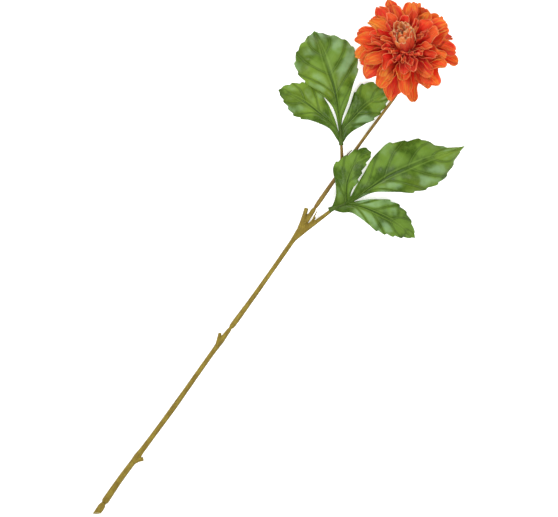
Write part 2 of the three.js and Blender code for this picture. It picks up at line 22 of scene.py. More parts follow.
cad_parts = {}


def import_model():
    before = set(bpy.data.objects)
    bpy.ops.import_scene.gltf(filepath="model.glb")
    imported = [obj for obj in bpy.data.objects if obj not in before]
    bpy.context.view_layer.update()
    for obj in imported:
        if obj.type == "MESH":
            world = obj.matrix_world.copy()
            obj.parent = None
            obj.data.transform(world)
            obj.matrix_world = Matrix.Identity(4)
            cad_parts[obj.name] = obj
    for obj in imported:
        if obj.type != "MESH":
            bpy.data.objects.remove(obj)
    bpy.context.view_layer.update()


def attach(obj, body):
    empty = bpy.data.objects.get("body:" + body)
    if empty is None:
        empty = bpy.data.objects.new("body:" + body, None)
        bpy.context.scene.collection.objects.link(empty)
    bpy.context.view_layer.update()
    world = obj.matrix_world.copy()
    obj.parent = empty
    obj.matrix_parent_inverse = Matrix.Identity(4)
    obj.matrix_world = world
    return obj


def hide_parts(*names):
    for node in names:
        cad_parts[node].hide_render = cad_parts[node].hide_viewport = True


log = logging.getLogger("dahlia")

Colour = tuple[float, float, float]
Point = tuple[float, float, float]
Girth = Sequence[tuple[float, float]]
Span = tuple[float, float]
Formula = Callable[[float, float], Vector]

MM = 0.001
CUT_END = (5.4, -359.5)  # the middle of the cut end in the frame, millimetres


# ---- Small tools ---------------------------------------------------------------------------------


def clamp(value: float, low: float = 0.0, high: float = 1.0) -> float:
    """The value, kept between low and high."""
    return max(low, min(high, value))


def mix(a: float, b: float, share: float) -> float:
    """The number that is this share of the way from a to b."""
    return a + (b - a) * share


def ease(low: float, high: float, value: float) -> float:
    """A smooth step from 0 at low to 1 at high."""
    share = clamp((value - low) / (high - low))
    return share * share * (3 - 2 * share)


def value_at(table: Girth, x: float) -> float:
    """The value at x on a line through (x, value) points."""
    for (x0, a), (x1, b) in zip(table, table[1:]):
        if x <= x1:
            return mix(a, b, clamp((x - x0) / (x1 - x0)))
    return table[-1][1]


def in_frame(point: Sequence[float]) -> Vector:
    """A point of the plant's plan, in millimetres, as a place in the frame, still in millimetres."""
    return Vector((point[0] + CUT_END[0], point[1] + CUT_END[1], point[2]))


def on_surface(height: float, half: float, softness: float = 1.2) -> float:
    """The height of a blade that bends along the surface where it would sink into it.

    Args:
        height: the height it would have, in millimetres.
        half: half of its thickness.
        softness: how gently it bends.

    Returns:
        The height it has.
    """
    over = height - half
    return half + (over + math.hypot(over, softness)) / 2


class Trait(Enum):
    """The properties of a petal that a draw can be for."""

    AZIMUTH = 1
    LENGTH = 2
    WIDTH = 3
    LIFT = 4
    ROLL = 5
    SWEEP = 6
    CUP = 7
    TINT = 8
    RUFFLE = 9
    POINT = 10
    CURL = 11
    UNEVEN = 12
    PHASE = 13


def draw(number: int, index: int, trait: Trait) -> float:
    """A seeded draw from -1 to 1 for one property of one petal.

    Args:
        number: the whorl's number.
        index: the petal's place in the whorl.
        trait: which of its properties.

    Returns:
        The same number each time.
    """
    s = math.sin(number * 12.9898 + index * 78.233 + trait.value * 37.719 + 3) * 43758.5453
    return 2 * (s - math.floor(s)) - 1


class Line:
    """A smooth line through points in millimetres, walked by shares of its length."""

    SAMPLES = 200
    NEAR = 0.004  # the share of the length to either side that a heading is taken over

    def __init__(self, points: Sequence[Point]) -> None:
        """Measures the line through the points of the plan."""
        self.points = [in_frame(p) for p in points]
        self.walked = [0.0]
        last = self.points[0]
        for k in range(1, self.SAMPLES + 1):
            here = self.between(k / self.SAMPLES)
            self.walked.append(self.walked[-1] + (here - last).length)
            last = here
        self.length = self.walked[-1]

    def between(self, t: float) -> Vector:
        """The centripetal spline's point at t, from 0 to 1, counted by points and not by length."""
        points = self.points
        place = t * (len(points) - 1)
        i = min(int(place), len(points) - 2)
        w = place - i
        b, c = points[i], points[i + 1]
        a = points[i - 1] if i else 2 * b - c
        d = points[i + 2] if i + 2 < len(points) else 2 * c - b
        ab, bc, cd = (math.sqrt(max((q - p).length, 1e-4)) for p, q in ((a, b), (b, c), (c, d)))
        start = ((b - a) / ab - (c - a) / (ab + bc) + (c - b) / bc) * bc
        end = ((c - b) / bc - (d - b) / (bc + cd) + (d - c) / cd) * bc
        bowed = (3 * (c - b) - 2 * start - end) * w * w
        return b + start * w + bowed + (2 * (b - c) + start + end) * w**3

    def at(self, share: float) -> Vector:
        """The point at a share of the line's length."""
        target = clamp(share) * self.length
        k = min(max(bisect.bisect_left(self.walked, target), 1), self.SAMPLES)
        before, after = self.walked[k - 1], self.walked[k]
        step = (target - before) / (after - before) if after > before else 0.0
        return self.between((k - 1 + step) / self.SAMPLES)

    def heading(self, share: float) -> Vector:
        """The line's direction at a share of its length."""
        return (self.at(share + self.NEAR) - self.at(share - self.NEAR)).normalized()


# ---- Modelling -----------------------------------------------------------------------------------


def deselect() -> None:
    """Leaves nothing selected."""
    for shown in bpy.context.selected_objects:
        shown.select_set(False)


def take(*pieces: bpy.types.Object) -> bpy.types.Object:
    """Selects these pieces alone and makes the first of them active, and returns it."""
    deselect()
    for piece in pieces:
        piece.select_set(True)
    bpy.context.view_layer.objects.active = pieces[0]
    return pieces[0]


def sheet(name: str, across: Sequence[float], along: Sequence[float], place: Formula) -> bpy.types.Object:
    """Adds a grid and lays each of its points by a formula.

    Args:
        name: the piece's name.
        across: where its columns stand, as numbers that the formula takes.
        along: where its rows stand.
        place: gives the point at (across, along) in millimetres.

    Returns:
        The piece, whose UV map holds the shares across and along.
    """
    deselect()
    columns, rows = len(across) - 1, len(along) - 1
    bpy.ops.mesh.primitive_grid_add(x_subdivisions=columns, y_subdivisions=rows, size=1)
    piece = bpy.context.object
    piece.name = name
    mesh = piece.data
    mesh.name = name
    spots = [(round((v.co.x + 0.5) * columns), round((v.co.y + 0.5) * rows)) for v in mesh.vertices]
    low, span = across[0], across[-1] - across[0]
    for vertex, (i, j) in zip(mesh.vertices, spots):
        vertex.co = place(across[i], along[j]) * MM
    for loop, corner in zip(mesh.loops, mesh.uv_layers[0].data):
        i, j = spots[loop.vertex_index]
        corner.uv = ((across[i] - low) / span, along[j])
    return piece


def spread(low: float, high: float, steps: int) -> list[float]:
    """Evenly spaced numbers from low to high."""
    return [mix(low, high, k / steps) for k in range(steps + 1)]


def rolled(name: str, sides: int, along: Sequence[float], place: Formula) -> bpy.types.Object:
    """A grid rolled round into a closed tube, with both ends filled.

    Args:
        name: the piece's name.
        sides: how many sides it has.
        along: where its rings stand.
        place: gives the point at (turn, along) in millimetres, with the turn in radians.

    Returns:
        The piece, closed and facing outwards.
    """
    piece = sheet(name, spread(0, 2 * math.pi, sides), along, place)
    bpy.ops.object.mode_set(mode="EDIT")
    bpy.ops.mesh.select_all(action="SELECT")
    bpy.ops.mesh.remove_doubles(threshold=1e-6)
    bpy.ops.mesh.select_all(action="DESELECT")
    bpy.ops.mesh.select_mode(type="EDGE")
    bpy.ops.mesh.select_non_manifold(extend=False)
    bpy.ops.mesh.edge_face_add()
    bpy.ops.mesh.select_mode(type="VERT")
    bpy.ops.mesh.select_all(action="SELECT")
    bpy.ops.mesh.normals_make_consistent(inside=False)
    bpy.ops.object.mode_set(mode="OBJECT")
    return piece


def joined(name: str, pieces: Sequence[bpy.types.Object]) -> bpy.types.Object:
    """Joins pieces into one of this name."""
    piece = take(*pieces)
    if len(pieces) > 1:
        bpy.ops.object.join()
    piece.name = name
    piece.data.name = name
    return piece


def modified(piece: bpy.types.Object, kind: str, **settings: Any) -> bpy.types.Object:
    """Puts a modifier on a piece and applies it.

    Args:
        piece: the piece.
        kind: the modifier's type.
        **settings: its settings.

    Returns:
        The piece.
    """
    take(piece)
    modifier = piece.modifiers.new(kind.lower(), kind)
    for key, value in settings.items():
        setattr(modifier, key, value)
    bpy.ops.object.modifier_apply(modifier=modifier.name)
    return piece


def smooth(piece: bpy.types.Object) -> bpy.types.Object:
    """Shades a piece smooth, and returns it."""
    take(piece)
    bpy.ops.object.shade_smooth()
    return piece


def bladed(piece: bpy.types.Object, thickness: float, levels: int = 1) -> bpy.types.Object:
    """Gives sheets their thickness and a smooth surface. Their undersides take the second material."""
    sides = {"use_rim": True, "material_offset": 1, "material_offset_rim": 0}
    modified(piece, "SOLIDIFY", thickness=thickness * MM, offset=0.0, **sides)
    modified(piece, "SUBSURF", levels=levels, render_levels=levels)
    return smooth(piece)


def carried(piece: bpy.types.Object, name: str, values: Sequence[float]) -> None:
    """Gives a piece an attribute, from one number for each point or three for each point."""
    if len(values) == len(piece.data.vertices):
        piece.data.attributes.new(name, "FLOAT", "POINT").data.foreach_set("value", values)
    else:
        piece.data.attributes.new(name, "FLOAT_VECTOR", "POINT").data.foreach_set("vector", values)


def marked(piece: bpy.types.Object, name: str, value: float) -> None:
    """Gives every point of a piece the same value of an attribute."""
    carried(piece, name, [value] * len(piece.data.vertices))


def put(piece: bpy.types.Object, slot: str, nodes: Sequence[str], *finishes: bpy.types.Material) -> None:
    """Dresses a piece, hangs it under the root body and hides the solids that it stands for.

    Args:
        piece: the finished piece.
        slot: the record's material slot; not used.
        nodes: the solids that it stands for.
        *finishes: its materials, in order.
    """
    piece.data.materials.clear()
    for finish in finishes:
        piece.data.materials.append(finish)
    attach(piece, "root")
    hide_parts(*nodes)
    log.info("%s: %d faces", piece.name, len(piece.data.polygons))


# ---- Shading tools -------------------------------------------------------------------------------


class Tree:
    """Short calls for the nodes of one material or one shared effect."""

    def __init__(self, tree: bpy.types.NodeTree) -> None:
        """Works on this node tree."""
        self.tree = tree

    def add(self, kind: str, inputs: dict[Any, Any] | None = None, **settings: Any) -> bpy.types.Node:
        """Adds a node.

        Args:
            kind: its type.
            inputs: what its sockets take, which is another node's output or a plain value.
            **settings: its own settings.

        Returns:
            The node.
        """
        node = self.tree.nodes.new(kind)
        node.location = (200 * (len(self.tree.nodes) % 8), -200 * (len(self.tree.nodes) // 8))
        for key, value in settings.items():
            setattr(node, key, value)
        for key, value in (inputs or {}).items():
            if isinstance(value, bpy.types.NodeSocket):
                self.tree.links.new(value, node.inputs[key])
            else:
                node.inputs[key].default_value = value
        return node

    def math(self, operation: str, *values: Any) -> bpy.types.NodeSocket:
        """The result of a Math node on these values."""
        return self.add("ShaderNodeMath", dict(enumerate(values)), operation=operation).outputs[0]

    def times(self, a: Any, b: Any) -> bpy.types.NodeSocket:
        """The product of two values."""
        return self.math("MULTIPLY", a, b)

    def line(self, value: Any, by: Any, plus: Any) -> bpy.types.NodeSocket:
        """The value times one number plus another."""
        return self.math("MULTIPLY_ADD", value, by, plus)

    def less(self, value: Any) -> bpy.types.NodeSocket:
        """What the value lacks to 1."""
        return self.math("SUBTRACT", 1.0, value)

    def off_half(self, value: Any) -> bpy.types.NodeSocket:
        """How far the value's fraction is from a half."""
        return self.math("ABSOLUTE", self.math("SUBTRACT", self.math("FRACT", value), 0.5))

    def ranged(self, value: Any, low: float, high: float, to: Span = (0, 1)) -> bpy.types.NodeSocket:
        """The value taken from low..high to another range by a smooth step."""
        inputs = {"Value": value, "From Min": low, "From Max": high, "To Min": to[0], "To Max": to[1]}
        return self.add("ShaderNodeMapRange", inputs, interpolation_type="SMOOTHSTEP").outputs[0]

    def blend(self, share: Any, a: Any, b: Any, kind: str = "MIX") -> bpy.types.NodeSocket:
        """Two colours mixed by a share."""
        inputs = {0: share, 6: full(a), 7: full(b)}
        return self.add("ShaderNodeMix", inputs, data_type="RGBA", blend_type=kind).outputs[2]

    def ramp(self, value: Any, stops: Sequence[tuple[float, Colour]]) -> bpy.types.NodeSocket:
        """The colour of a value on a ramp of (place, colour) stops."""
        node = self.add("ShaderNodeValToRGB", {0: value})
        elements = node.color_ramp.elements
        for _ in stops[2:]:
            elements.new(0.5)
        for element, (place, colour) in zip(elements, stops):
            element.position = place
            element.color = full(colour)
        return node.outputs[0]

    def noise(self, at: Any, scale: float, detail: float = 3, rough: float = 0.55) -> bpy.types.NodeSocket:
        """A noise texture's value."""
        inputs = {"Vector": at, "Scale": scale, "Detail": detail, "Roughness": rough}
        return self.add("ShaderNodeTexNoise", inputs).outputs[0]

    def effect(self, group: bpy.types.NodeTree, **inputs: Any) -> bpy.types.NodeSocket:
        """The result of a shared effect."""
        return self.add("ShaderNodeGroup", inputs, node_tree=group).outputs[0]

    def bump(self, height: Any, distance: float, strength: float) -> bpy.types.NodeSocket:
        """The normal that a height gives."""
        inputs = {"Height": height, "Distance": distance, "Strength": strength}
        return self.add("ShaderNodeBump", inputs).outputs[0]

    def place(self) -> bpy.types.NodeSocket:
        """The Object coordinates."""
        return self.add("ShaderNodeTexCoord").outputs["Object"]

    def attribute(self, name: str, output: str = "Fac") -> bpy.types.NodeSocket:
        """An attribute that the mesh carries."""
        return self.add("ShaderNodeAttribute", attribute_name=name).outputs[output]

    def parts(self, vector: Any) -> Sequence[bpy.types.NodeSocket]:
        """The three parts of a vector."""
        return self.add("ShaderNodeSeparateXYZ", {0: vector}).outputs

    def vector(self, x: Any, y: Any, z: Any = 0.0) -> bpy.types.NodeSocket:
        """A vector of three values."""
        return self.add("ShaderNodeCombineXYZ", {0: x, 1: y, 2: z}).outputs[0]

    def scaled(self, vector: Any, by: Point) -> bpy.types.NodeSocket:
        """A vector multiplied part by part."""
        return self.add("ShaderNodeVectorMath", {0: vector, 1: by}, operation="MULTIPLY").outputs[0]


def full(colour: Any) -> Any:
    """A colour with its alpha, where it is a plain colour."""
    return (*colour, 1.0) if isinstance(colour, tuple) and len(colour) == 3 else colour


def shared_effect(
    name: str,
    inputs: dict[str, tuple[str, Any]],
    outputs: dict[str, str],
    build: Callable[..., dict[str, Any]],
) -> bpy.types.NodeTree:
    """A node group, made the first time that it is asked for.

    Args:
        name: the effect's name.
        inputs: each input's socket type and plain value.
        outputs: each output's socket type.
        build: given the tree and the inputs, returns what feeds each output.

    Returns:
        The group's tree.
    """
    if name in bpy.data.node_groups:
        return bpy.data.node_groups[name]
    group = bpy.data.node_groups.new(name, "ShaderNodeTree")
    for label, (kind, value) in inputs.items():
        socket = group.interface.new_socket(label, in_out="INPUT", socket_type=kind)
        if value is not None:
            socket.default_value = value
    for label, kind in outputs.items():
        group.interface.new_socket(label, in_out="OUTPUT", socket_type=kind)
    tree = Tree(group)
    given = tree.add("NodeGroupInput").outputs
    tree.add("NodeGroupOutput", build(tree, given))
    return group


def streaks() -> bpy.types.NodeTree:
    """Fine lines that run the length of a petal or a stem."""

    def build(tree: Tree, given: Any) -> dict[str, Any]:
        x, y, z = tree.parts(given["Vector"])
        stretched = tree.vector(
            tree.times(x, given["Across"]),
            tree.times(y, given["Along"]),
            tree.line(z, given["Across"], given["Shift"]),
        )
        return {"Value": tree.ranged(tree.noise(stretched, 1.0, 4, 0.6), 0.34, 0.68)}

    number = "NodeSocketFloat"
    inputs = {
        "Vector": ("NodeSocketVector", None),
        "Across": (number, 20.0),
        "Along": (number, 1.5),
        "Shift": (number, 0.0),
    }
    return shared_effect("lengthwise_streaks", inputs, {"Value": number}, build)


def weave() -> bpy.types.NodeTree:
    """The fine crossed threads of pressed cloth, as a height."""

    def build(tree: Tree, given: Any) -> dict[str, Any]:
        x, y, _ = tree.parts(given["Vector"])
        warp = tree.math("SINE", tree.times(x, given["Threads"]))
        weft = tree.math("SINE", tree.times(y, given["Threads"]))
        return {"Height": tree.line(tree.times(warp, weft), 0.5, 0.5)}

    inputs = {"Vector": ("NodeSocketVector", None), "Threads": ("NodeSocketFloat", 9000.0)}
    return shared_effect("pressed_weave", inputs, {"Height": "NodeSocketFloat"}, build)


def mottling() -> bpy.types.NodeTree:
    """Broad soft patches, as in unevenly dyed cloth or skin."""

    def build(tree: Tree, given: Any) -> dict[str, Any]:
        inputs = {"Vector": given["Vector"], "Scale": given["Scale"], "Detail": 2.0}
        broad = tree.add("ShaderNodeTexNoise", inputs)
        return {"Value": tree.ranged(broad.outputs[0], 0.36, 0.64)}

    inputs = {"Vector": ("NodeSocketVector", None), "Scale": ("NodeSocketFloat", 40.0)}
    return shared_effect("soft_mottling", inputs, {"Value": "NodeSocketFloat"}, build)


def new_finish(name: str) -> tuple[bpy.types.Material, Tree, Callable[..., None]]:
    """Starts a material.

    Args:
        name: its name.

    Returns:
        The material, its tree, and a function that sets or links the shader's sockets by name.
    """
    made = bpy.data.materials.new(name)
    made.use_nodes = True
    tree = Tree(made.node_tree)
    shader = made.node_tree.nodes["Principled BSDF"]

    def dress(**sockets: Any) -> None:
        for label, value in sockets.items():
            socket = shader.inputs[label.replace("_", " ")]
            if isinstance(value, bpy.types.NodeSocket):
                made.node_tree.links.new(value, socket)
            else:
                socket.default_value = value

    return made, tree, dress


# ---- Finishes ------------------------------------------------------------------------------------


@dataclass(frozen=True)
class PetalFinish:
    """Dyed petal cloth: darker at the root, streaked along, with a paler rim that is partly its own edge
    colour and partly a painted highlight on the rolled margins.
    """

    name: str
    ramp: tuple[tuple[float, Colour], ...]
    streak: Colour
    # the rim's colour, partly the cloth's own paler edge and partly a painted highlight on the rolled
    # margins
    rim: Colour
    blush: Colour = (0.58, 0.03, 0.03)
    streak_share: float = 0.75
    rim_share: float = 0.8
    rim_from: float = 0.9  # where the rim starts, from 0 on the petal's middle to 1 at its edge
    ridges: float = 7.0  # raised lines across a petal
    relief: float = 0.0003  # how far they stand, in metres
    roughness: Span = (0.5, 0.66)

    def material(self) -> bpy.types.Material:
        """Builds the material."""
        made, tree, dress = new_finish(self.name)
        uv = tree.add("ShaderNodeUVMap", uv_map="UVMap").outputs[0]
        place = tree.place()
        petal = tree.attribute("petal")
        u, v, _ = tree.parts(uv)
        patches = tree.effect(mottling(), Vector=place, Scale=55.0)
        shift = tree.times(petal, 31.0)
        lines = tree.effect(streaks(), Vector=uv, Across=9.0, Along=1.3, Shift=shift)
        fine = tree.effect(streaks(), Vector=uv, Across=46.0, Along=2.4, Shift=shift)

        # the place on the colour ramp, which runs darker towards the root, shifted by patches, by the
        # petal's tint and by fine streaks
        ramp_place = tree.math("ADD", v, tree.line(patches, 0.16, -0.08))
        ramp_place = tree.math("ADD", ramp_place, tree.times(petal, 0.16))
        ramp_place = tree.math("ADD", ramp_place, tree.line(fine, 0.1, -0.05))
        outer = tree.ranged(v, 0.3, 0.95)
        warm = tree.times(tree.times(tree.ranged(petal, 0.1, 1.0), outer), 0.55)
        ground = tree.blend(warm, tree.ramp(ramp_place, self.ramp), self.streak)
        ground = tree.blend(tree.ranged(petal, -1.0, -0.1, (0.6, 0.0)), ground, self.blush)
        dyed = tree.times(tree.line(patches, 0.7, 0.3), self.streak_share)
        streaked = tree.blend(tree.times(tree.times(lines, outer), dyed), ground, self.streak)

        # the paler rim along the sides and at the tip: partly the cloth's own edge colour, partly a
        # painted highlight where the rolled margins catch the light
        edge = tree.math("ABSOLUTE", tree.line(u, 2.0, -1.0))
        sides = tree.times(tree.ranged(edge, self.rim_from, 0.99), tree.ranged(v, 0.1, 0.5))
        margin = tree.math("MAXIMUM", sides, tree.ranged(v, 0.93, 1.0))
        rim = tree.times(tree.times(margin, tree.line(lines, 0.6, 0.4)), self.rim_share)
        colour = tree.blend(rim, streaked, self.rim)

        wave = tree.math("COSINE", tree.times(u, 2 * math.pi * self.ridges))
        height = tree.math("ADD", wave, tree.times(fine, 1.4))
        height = tree.line(tree.effect(weave(), Vector=place, Threads=9000.0), 0.16, height)
        rough = tree.ranged(fine, 0.0, 1.0, self.roughness)
        normal = tree.bump(height, self.relief, 0.7)
        dress(Base_Color=colour, Roughness=rough, Normal=normal, Specular_IOR_Level=0.1)
        dress(Subsurface_Weight=0.35, Subsurface_Scale=0.006, Subsurface_Radius=(1.0, 0.22, 0.1))
        return made


@dataclass(frozen=True)
class LeafFinish:
    """A leaflet's green skin, with its veins, patches and soft gloss, a painted sheen between its folds,
    and painted shade in its folds and along its rib.
    """

    name: str
    # the dark tone of its patches, which also serves as the colour of the painted shade
    dark: Colour
    light: Colour
    young: Colour
    vein: Colour
    # painted highlight: the colour of the sheen painted on the raised parts between the folds
    sheen: Colour
    vein_share: float
    roughness: Span
    relief: float = 0.0004

    def material(self) -> bpy.types.Material:
        """Builds the material."""
        made, tree, dress = new_finish(self.name)
        place = tree.place()
        phase, across, along = tree.parts(tree.attribute("vein", "Vector"))
        patches = tree.effect(mottling(), Vector=place, Scale=42.0)
        fine = tree.noise(place, 420.0, 4)

        wide = tree.line(across, -0.035, 0.07)
        between = tree.off_half(tree.math("ADD", phase, 0.5))
        folds = tree.off_half(tree.line(phase, 0.5, 0.5))
        small = tree.less(tree.ranged(tree.math("DIVIDE", between, wide), 0.0, 1.6))
        side = tree.less(tree.ranged(tree.math("DIVIDE", folds, wide), 0.0, 0.9))
        side = tree.math("MAXIMUM", side, tree.times(small, 0.35))
        side = tree.times(side, tree.ranged(across, 0.9, 1.0, (1.0, 0.2)))
        rib = tree.less(tree.ranged(across, 0.015, 0.06))
        towards_root = tree.ranged(along, 0.4, 0.85, (1.0, 0.0))
        veins = tree.math("MAXIMUM", tree.times(side, 0.75), rib)

        ground = tree.blend(tree.ranged(patches, 0.0, 1.0, (0.1, 0.95)), self.dark, self.light)
        ground = tree.blend(tree.ranged(fine, 0.3, 0.75, (0.0, 0.3)), ground, self.light)
        young = tree.noise(place, 13.0, 2)
        ground = tree.blend(tree.ranged(young, 0.5, 0.72, (0.0, 0.45)), ground, self.young)
        # painted highlight: patches of sheen away from the rib and the folds, mixed towards the sheen
        # colour
        painted_sheen_mask = tree.ranged(tree.noise(place, 24.0, 3), 0.48, 0.66)
        painted_sheen_mask = tree.times(painted_sheen_mask, tree.ranged(across, 0.15, 0.5))
        painted_sheen_mask = tree.times(painted_sheen_mask, tree.ranged(folds, 0.04, 0.34, (0.0, 0.65)))
        ground = tree.blend(painted_sheen_mask, ground, self.sheen)

        # painted shade: darker in the creases along the side veins
        ground = tree.blend(tree.ranged(folds, 0.01, 0.16, (0.6, 0.0)), ground, self.dark)
        # darker at the leaflet's root, and along the rib towards the root
        ground = tree.blend(tree.ranged(along, 0.0, 0.3, (0.85, 0.0)), ground, self.dark)
        inward = tree.times(tree.ranged(across, 0.0, 0.3, (0.7, 0.0)), towards_root)
        ground = tree.blend(inward, ground, self.dark)
        beside = tree.times(tree.ranged(across, 0.05, 0.09), tree.ranged(across, 0.09, 0.15, (1.0, 0.0)))
        ground = tree.blend(tree.times(beside, 0.3), ground, self.vein)
        colour = tree.blend(tree.times(side, self.vein_share), ground, self.vein)
        colour = tree.blend(tree.times(rib, self.vein_share), colour, self.vein)
        # painted shade: the rib's groove darkened towards the root
        colour = tree.blend(tree.times(tree.times(rib, towards_root), 0.95), colour, self.dark)

        inputs = {"Vector": place, "Scale": 380.0}
        net = tree.add("ShaderNodeTexVoronoi", inputs, feature="DISTANCE_TO_EDGE")
        height = tree.line(tree.ranged(net.outputs[0], 0.0, 0.2), 0.1, tree.times(veins, -0.9))
        height = tree.line(fine, 0.35, height)
        rough = tree.ranged(patches, 0.0, 1.0, self.roughness)
        normal = tree.bump(height, self.relief, 0.8)
        dress(Base_Color=colour, Roughness=rough, Normal=normal, Specular_IOR_Level=0.15)
        return made


@dataclass(frozen=True)
class BarkFinish:
    """A stem's skin, streaked along its grain, with a paler cut face."""

    name: str
    dark: Colour
    middle: Colour
    light: Colour
    pith: Colour
    roughness: Span = (0.5, 0.72)
    relief: float = 0.0002

    def material(self) -> bpy.types.Material:
        """Builds the material."""
        made, tree, dress = new_finish(self.name)
        grain = tree.attribute("grain", "Vector")
        cut = tree.attribute("cut")
        x, y, z = tree.parts(grain)
        turned = tree.vector(x, z, y)
        broad = tree.effect(streaks(), Vector=turned, Across=0.55, Along=0.05)
        fine = tree.effect(streaks(), Vector=turned, Across=2.6, Along=0.12, Shift=7.0)
        patches = tree.noise(grain, 0.12, 3)
        inputs = {"Vector": tree.scaled(grain, (1.0, 1.0, 0.45)), "Scale": 0.9}
        specks = tree.add("ShaderNodeTexVoronoi", inputs)
        spot = tree.less(tree.ranged(specks.outputs[0], 0.1, 0.3))

        ground = tree.blend(tree.ranged(patches, 0.4, 0.62), self.middle, self.light)
        ground = tree.blend(tree.times(broad, 0.55), ground, self.dark)
        ground = tree.blend(tree.times(fine, 0.35), ground, self.light)
        ground = tree.blend(tree.times(spot, 0.5), ground, self.dark)
        rings = tree.ranged(tree.noise(grain, 1.3, 2), 0.35, 0.65)
        colour = tree.blend(cut, ground, tree.blend(rings, self.pith, self.middle))

        height = tree.line(spot, 0.6, tree.math("ADD", fine, broad))
        rough = tree.ranged(fine, 0.0, 1.0, self.roughness)
        normal = tree.bump(height, self.relief, 0.8)
        dress(Base_Color=colour, Roughness=rough, Normal=normal, Specular_IOR_Level=0.25)
        return made


class Dye(Enum):
    """The finishes of the plant, each built once."""

    RAY = PetalFinish(
        "ray_petal_face",
        (
            (0.0, (0.5, 0.004, 0.004)),
            (0.35, (0.6, 0.009, 0.008)),
            (0.65, (0.68, 0.03, 0.014)),
            (1.0, (0.73, 0.08, 0.025)),
        ),
        streak=(0.72, 0.29, 0.035),
        rim=(0.88, 0.3, 0.07),
        streak_share=0.9,
        rim_share=0.6,
        rim_from=0.76,
    )
    RAY_BACK = PetalFinish(
        "ray_petal_back",
        ((0.0, (0.5, 0.012, 0.008)), (0.5, (0.74, 0.06, 0.035)), (1.0, (0.84, 0.14, 0.06))),
        streak=(0.84, 0.3, 0.08),
        rim=(0.86, 0.33, 0.09),
        streak_share=0.5,
    )
    INNER = PetalFinish(
        "inner_petal_face",
        (
            (0.0, (0.46, 0.003, 0.002)),
            (0.4, (0.56, 0.005, 0.004)),
            (0.75, (0.66, 0.018, 0.012)),
            (1.0, (0.76, 0.07, 0.028)),
        ),
        streak=(0.8, 0.2, 0.04),
        rim=(0.96, 0.34, 0.14),
        streak_share=0.5,
        rim_share=0.68,
        rim_from=0.86,
    )
    INNER_BACK = PetalFinish(
        "inner_petal_back",
        ((0.0, (0.45, 0.01, 0.008)), (0.45, (0.7, 0.05, 0.04)), (1.0, (0.82, 0.13, 0.08))),
        streak=(0.84, 0.28, 0.1),
        rim=(0.96, 0.38, 0.17),
        streak_share=0.5,
        rim_share=0.8,
    )
    HEART = PetalFinish(
        "heart_petal_back",
        (
            (0.0, (0.7, 0.04, 0.014)),
            (0.4, (0.9, 0.12, 0.034)),
            (0.8, (0.97, 0.2, 0.045)),
            (1.0, (0.98, 0.3, 0.08)),
        ),
        streak=(0.85, 0.3, 0.08),
        rim=(0.98, 0.56, 0.28),
        streak_share=0.45,
        rim_share=1.0,
        rim_from=0.86,
    )
    HEART_FACE = PetalFinish(
        "heart_petal_face",
        ((0.0, (0.54, 0.006, 0.003)), (0.6, (0.76, 0.04, 0.014)), (1.0, (0.88, 0.14, 0.04))),
        streak=(0.84, 0.28, 0.08),
        rim=(0.98, 0.56, 0.28),
        rim_share=1.0,
        rim_from=0.84,
    )
    LEAF = LeafFinish(
        "leaf_face",
        dark=(0.026, 0.062, 0.002),
        light=(0.12, 0.215, 0.022),
        young=(0.19, 0.28, 0.022),
        vein=(0.24, 0.37, 0.07),
        sheen=(0.25, 0.4, 0.19),
        vein_share=0.2,
        roughness=(0.36, 0.5),
    )
    LEAF_BACK = LeafFinish(
        "leaf_back",
        dark=(0.12, 0.18, 0.06),
        light=(0.2, 0.3, 0.11),
        young=(0.24, 0.34, 0.12),
        vein=(0.3, 0.42, 0.18),
        sheen=(0.24, 0.34, 0.16),
        vein_share=0.7,
        roughness=(0.55, 0.7),
    )
    STEM = BarkFinish(
        "stem_skin",
        dark=(0.1, 0.06, 0.004),
        middle=(0.2, 0.134, 0.011),
        light=(0.29, 0.215, 0.024),
        pith=(0.5, 0.42, 0.16),
    )
    STALK = BarkFinish(
        "stalk_skin",
        dark=(0.08, 0.038, 0.005),
        middle=(0.165, 0.095, 0.013),
        light=(0.25, 0.165, 0.028),
        pith=(0.3, 0.22, 0.09),
    )
    SLEEVE = BarkFinish(
        "sleeve_skin",
        dark=(0.02, 0.04, 0.002),
        middle=(0.045, 0.08, 0.005),
        light=(0.08, 0.14, 0.012),
        pith=(0.06, 0.1, 0.01),
    )
    CALYX = BarkFinish(
        "calyx_skin",
        dark=(0.07, 0.1, 0.015),
        middle=(0.14, 0.19, 0.03),
        light=(0.24, 0.3, 0.06),
        pith=(0.24, 0.3, 0.06),
    )

    def made(self) -> bpy.types.Material:
        """The material, built the first time that it is asked for."""
        found = bpy.data.materials.get(self.value.name)
        return found or self.value.material()


# ---- View, light and floor -----------------------------------------------------------------------


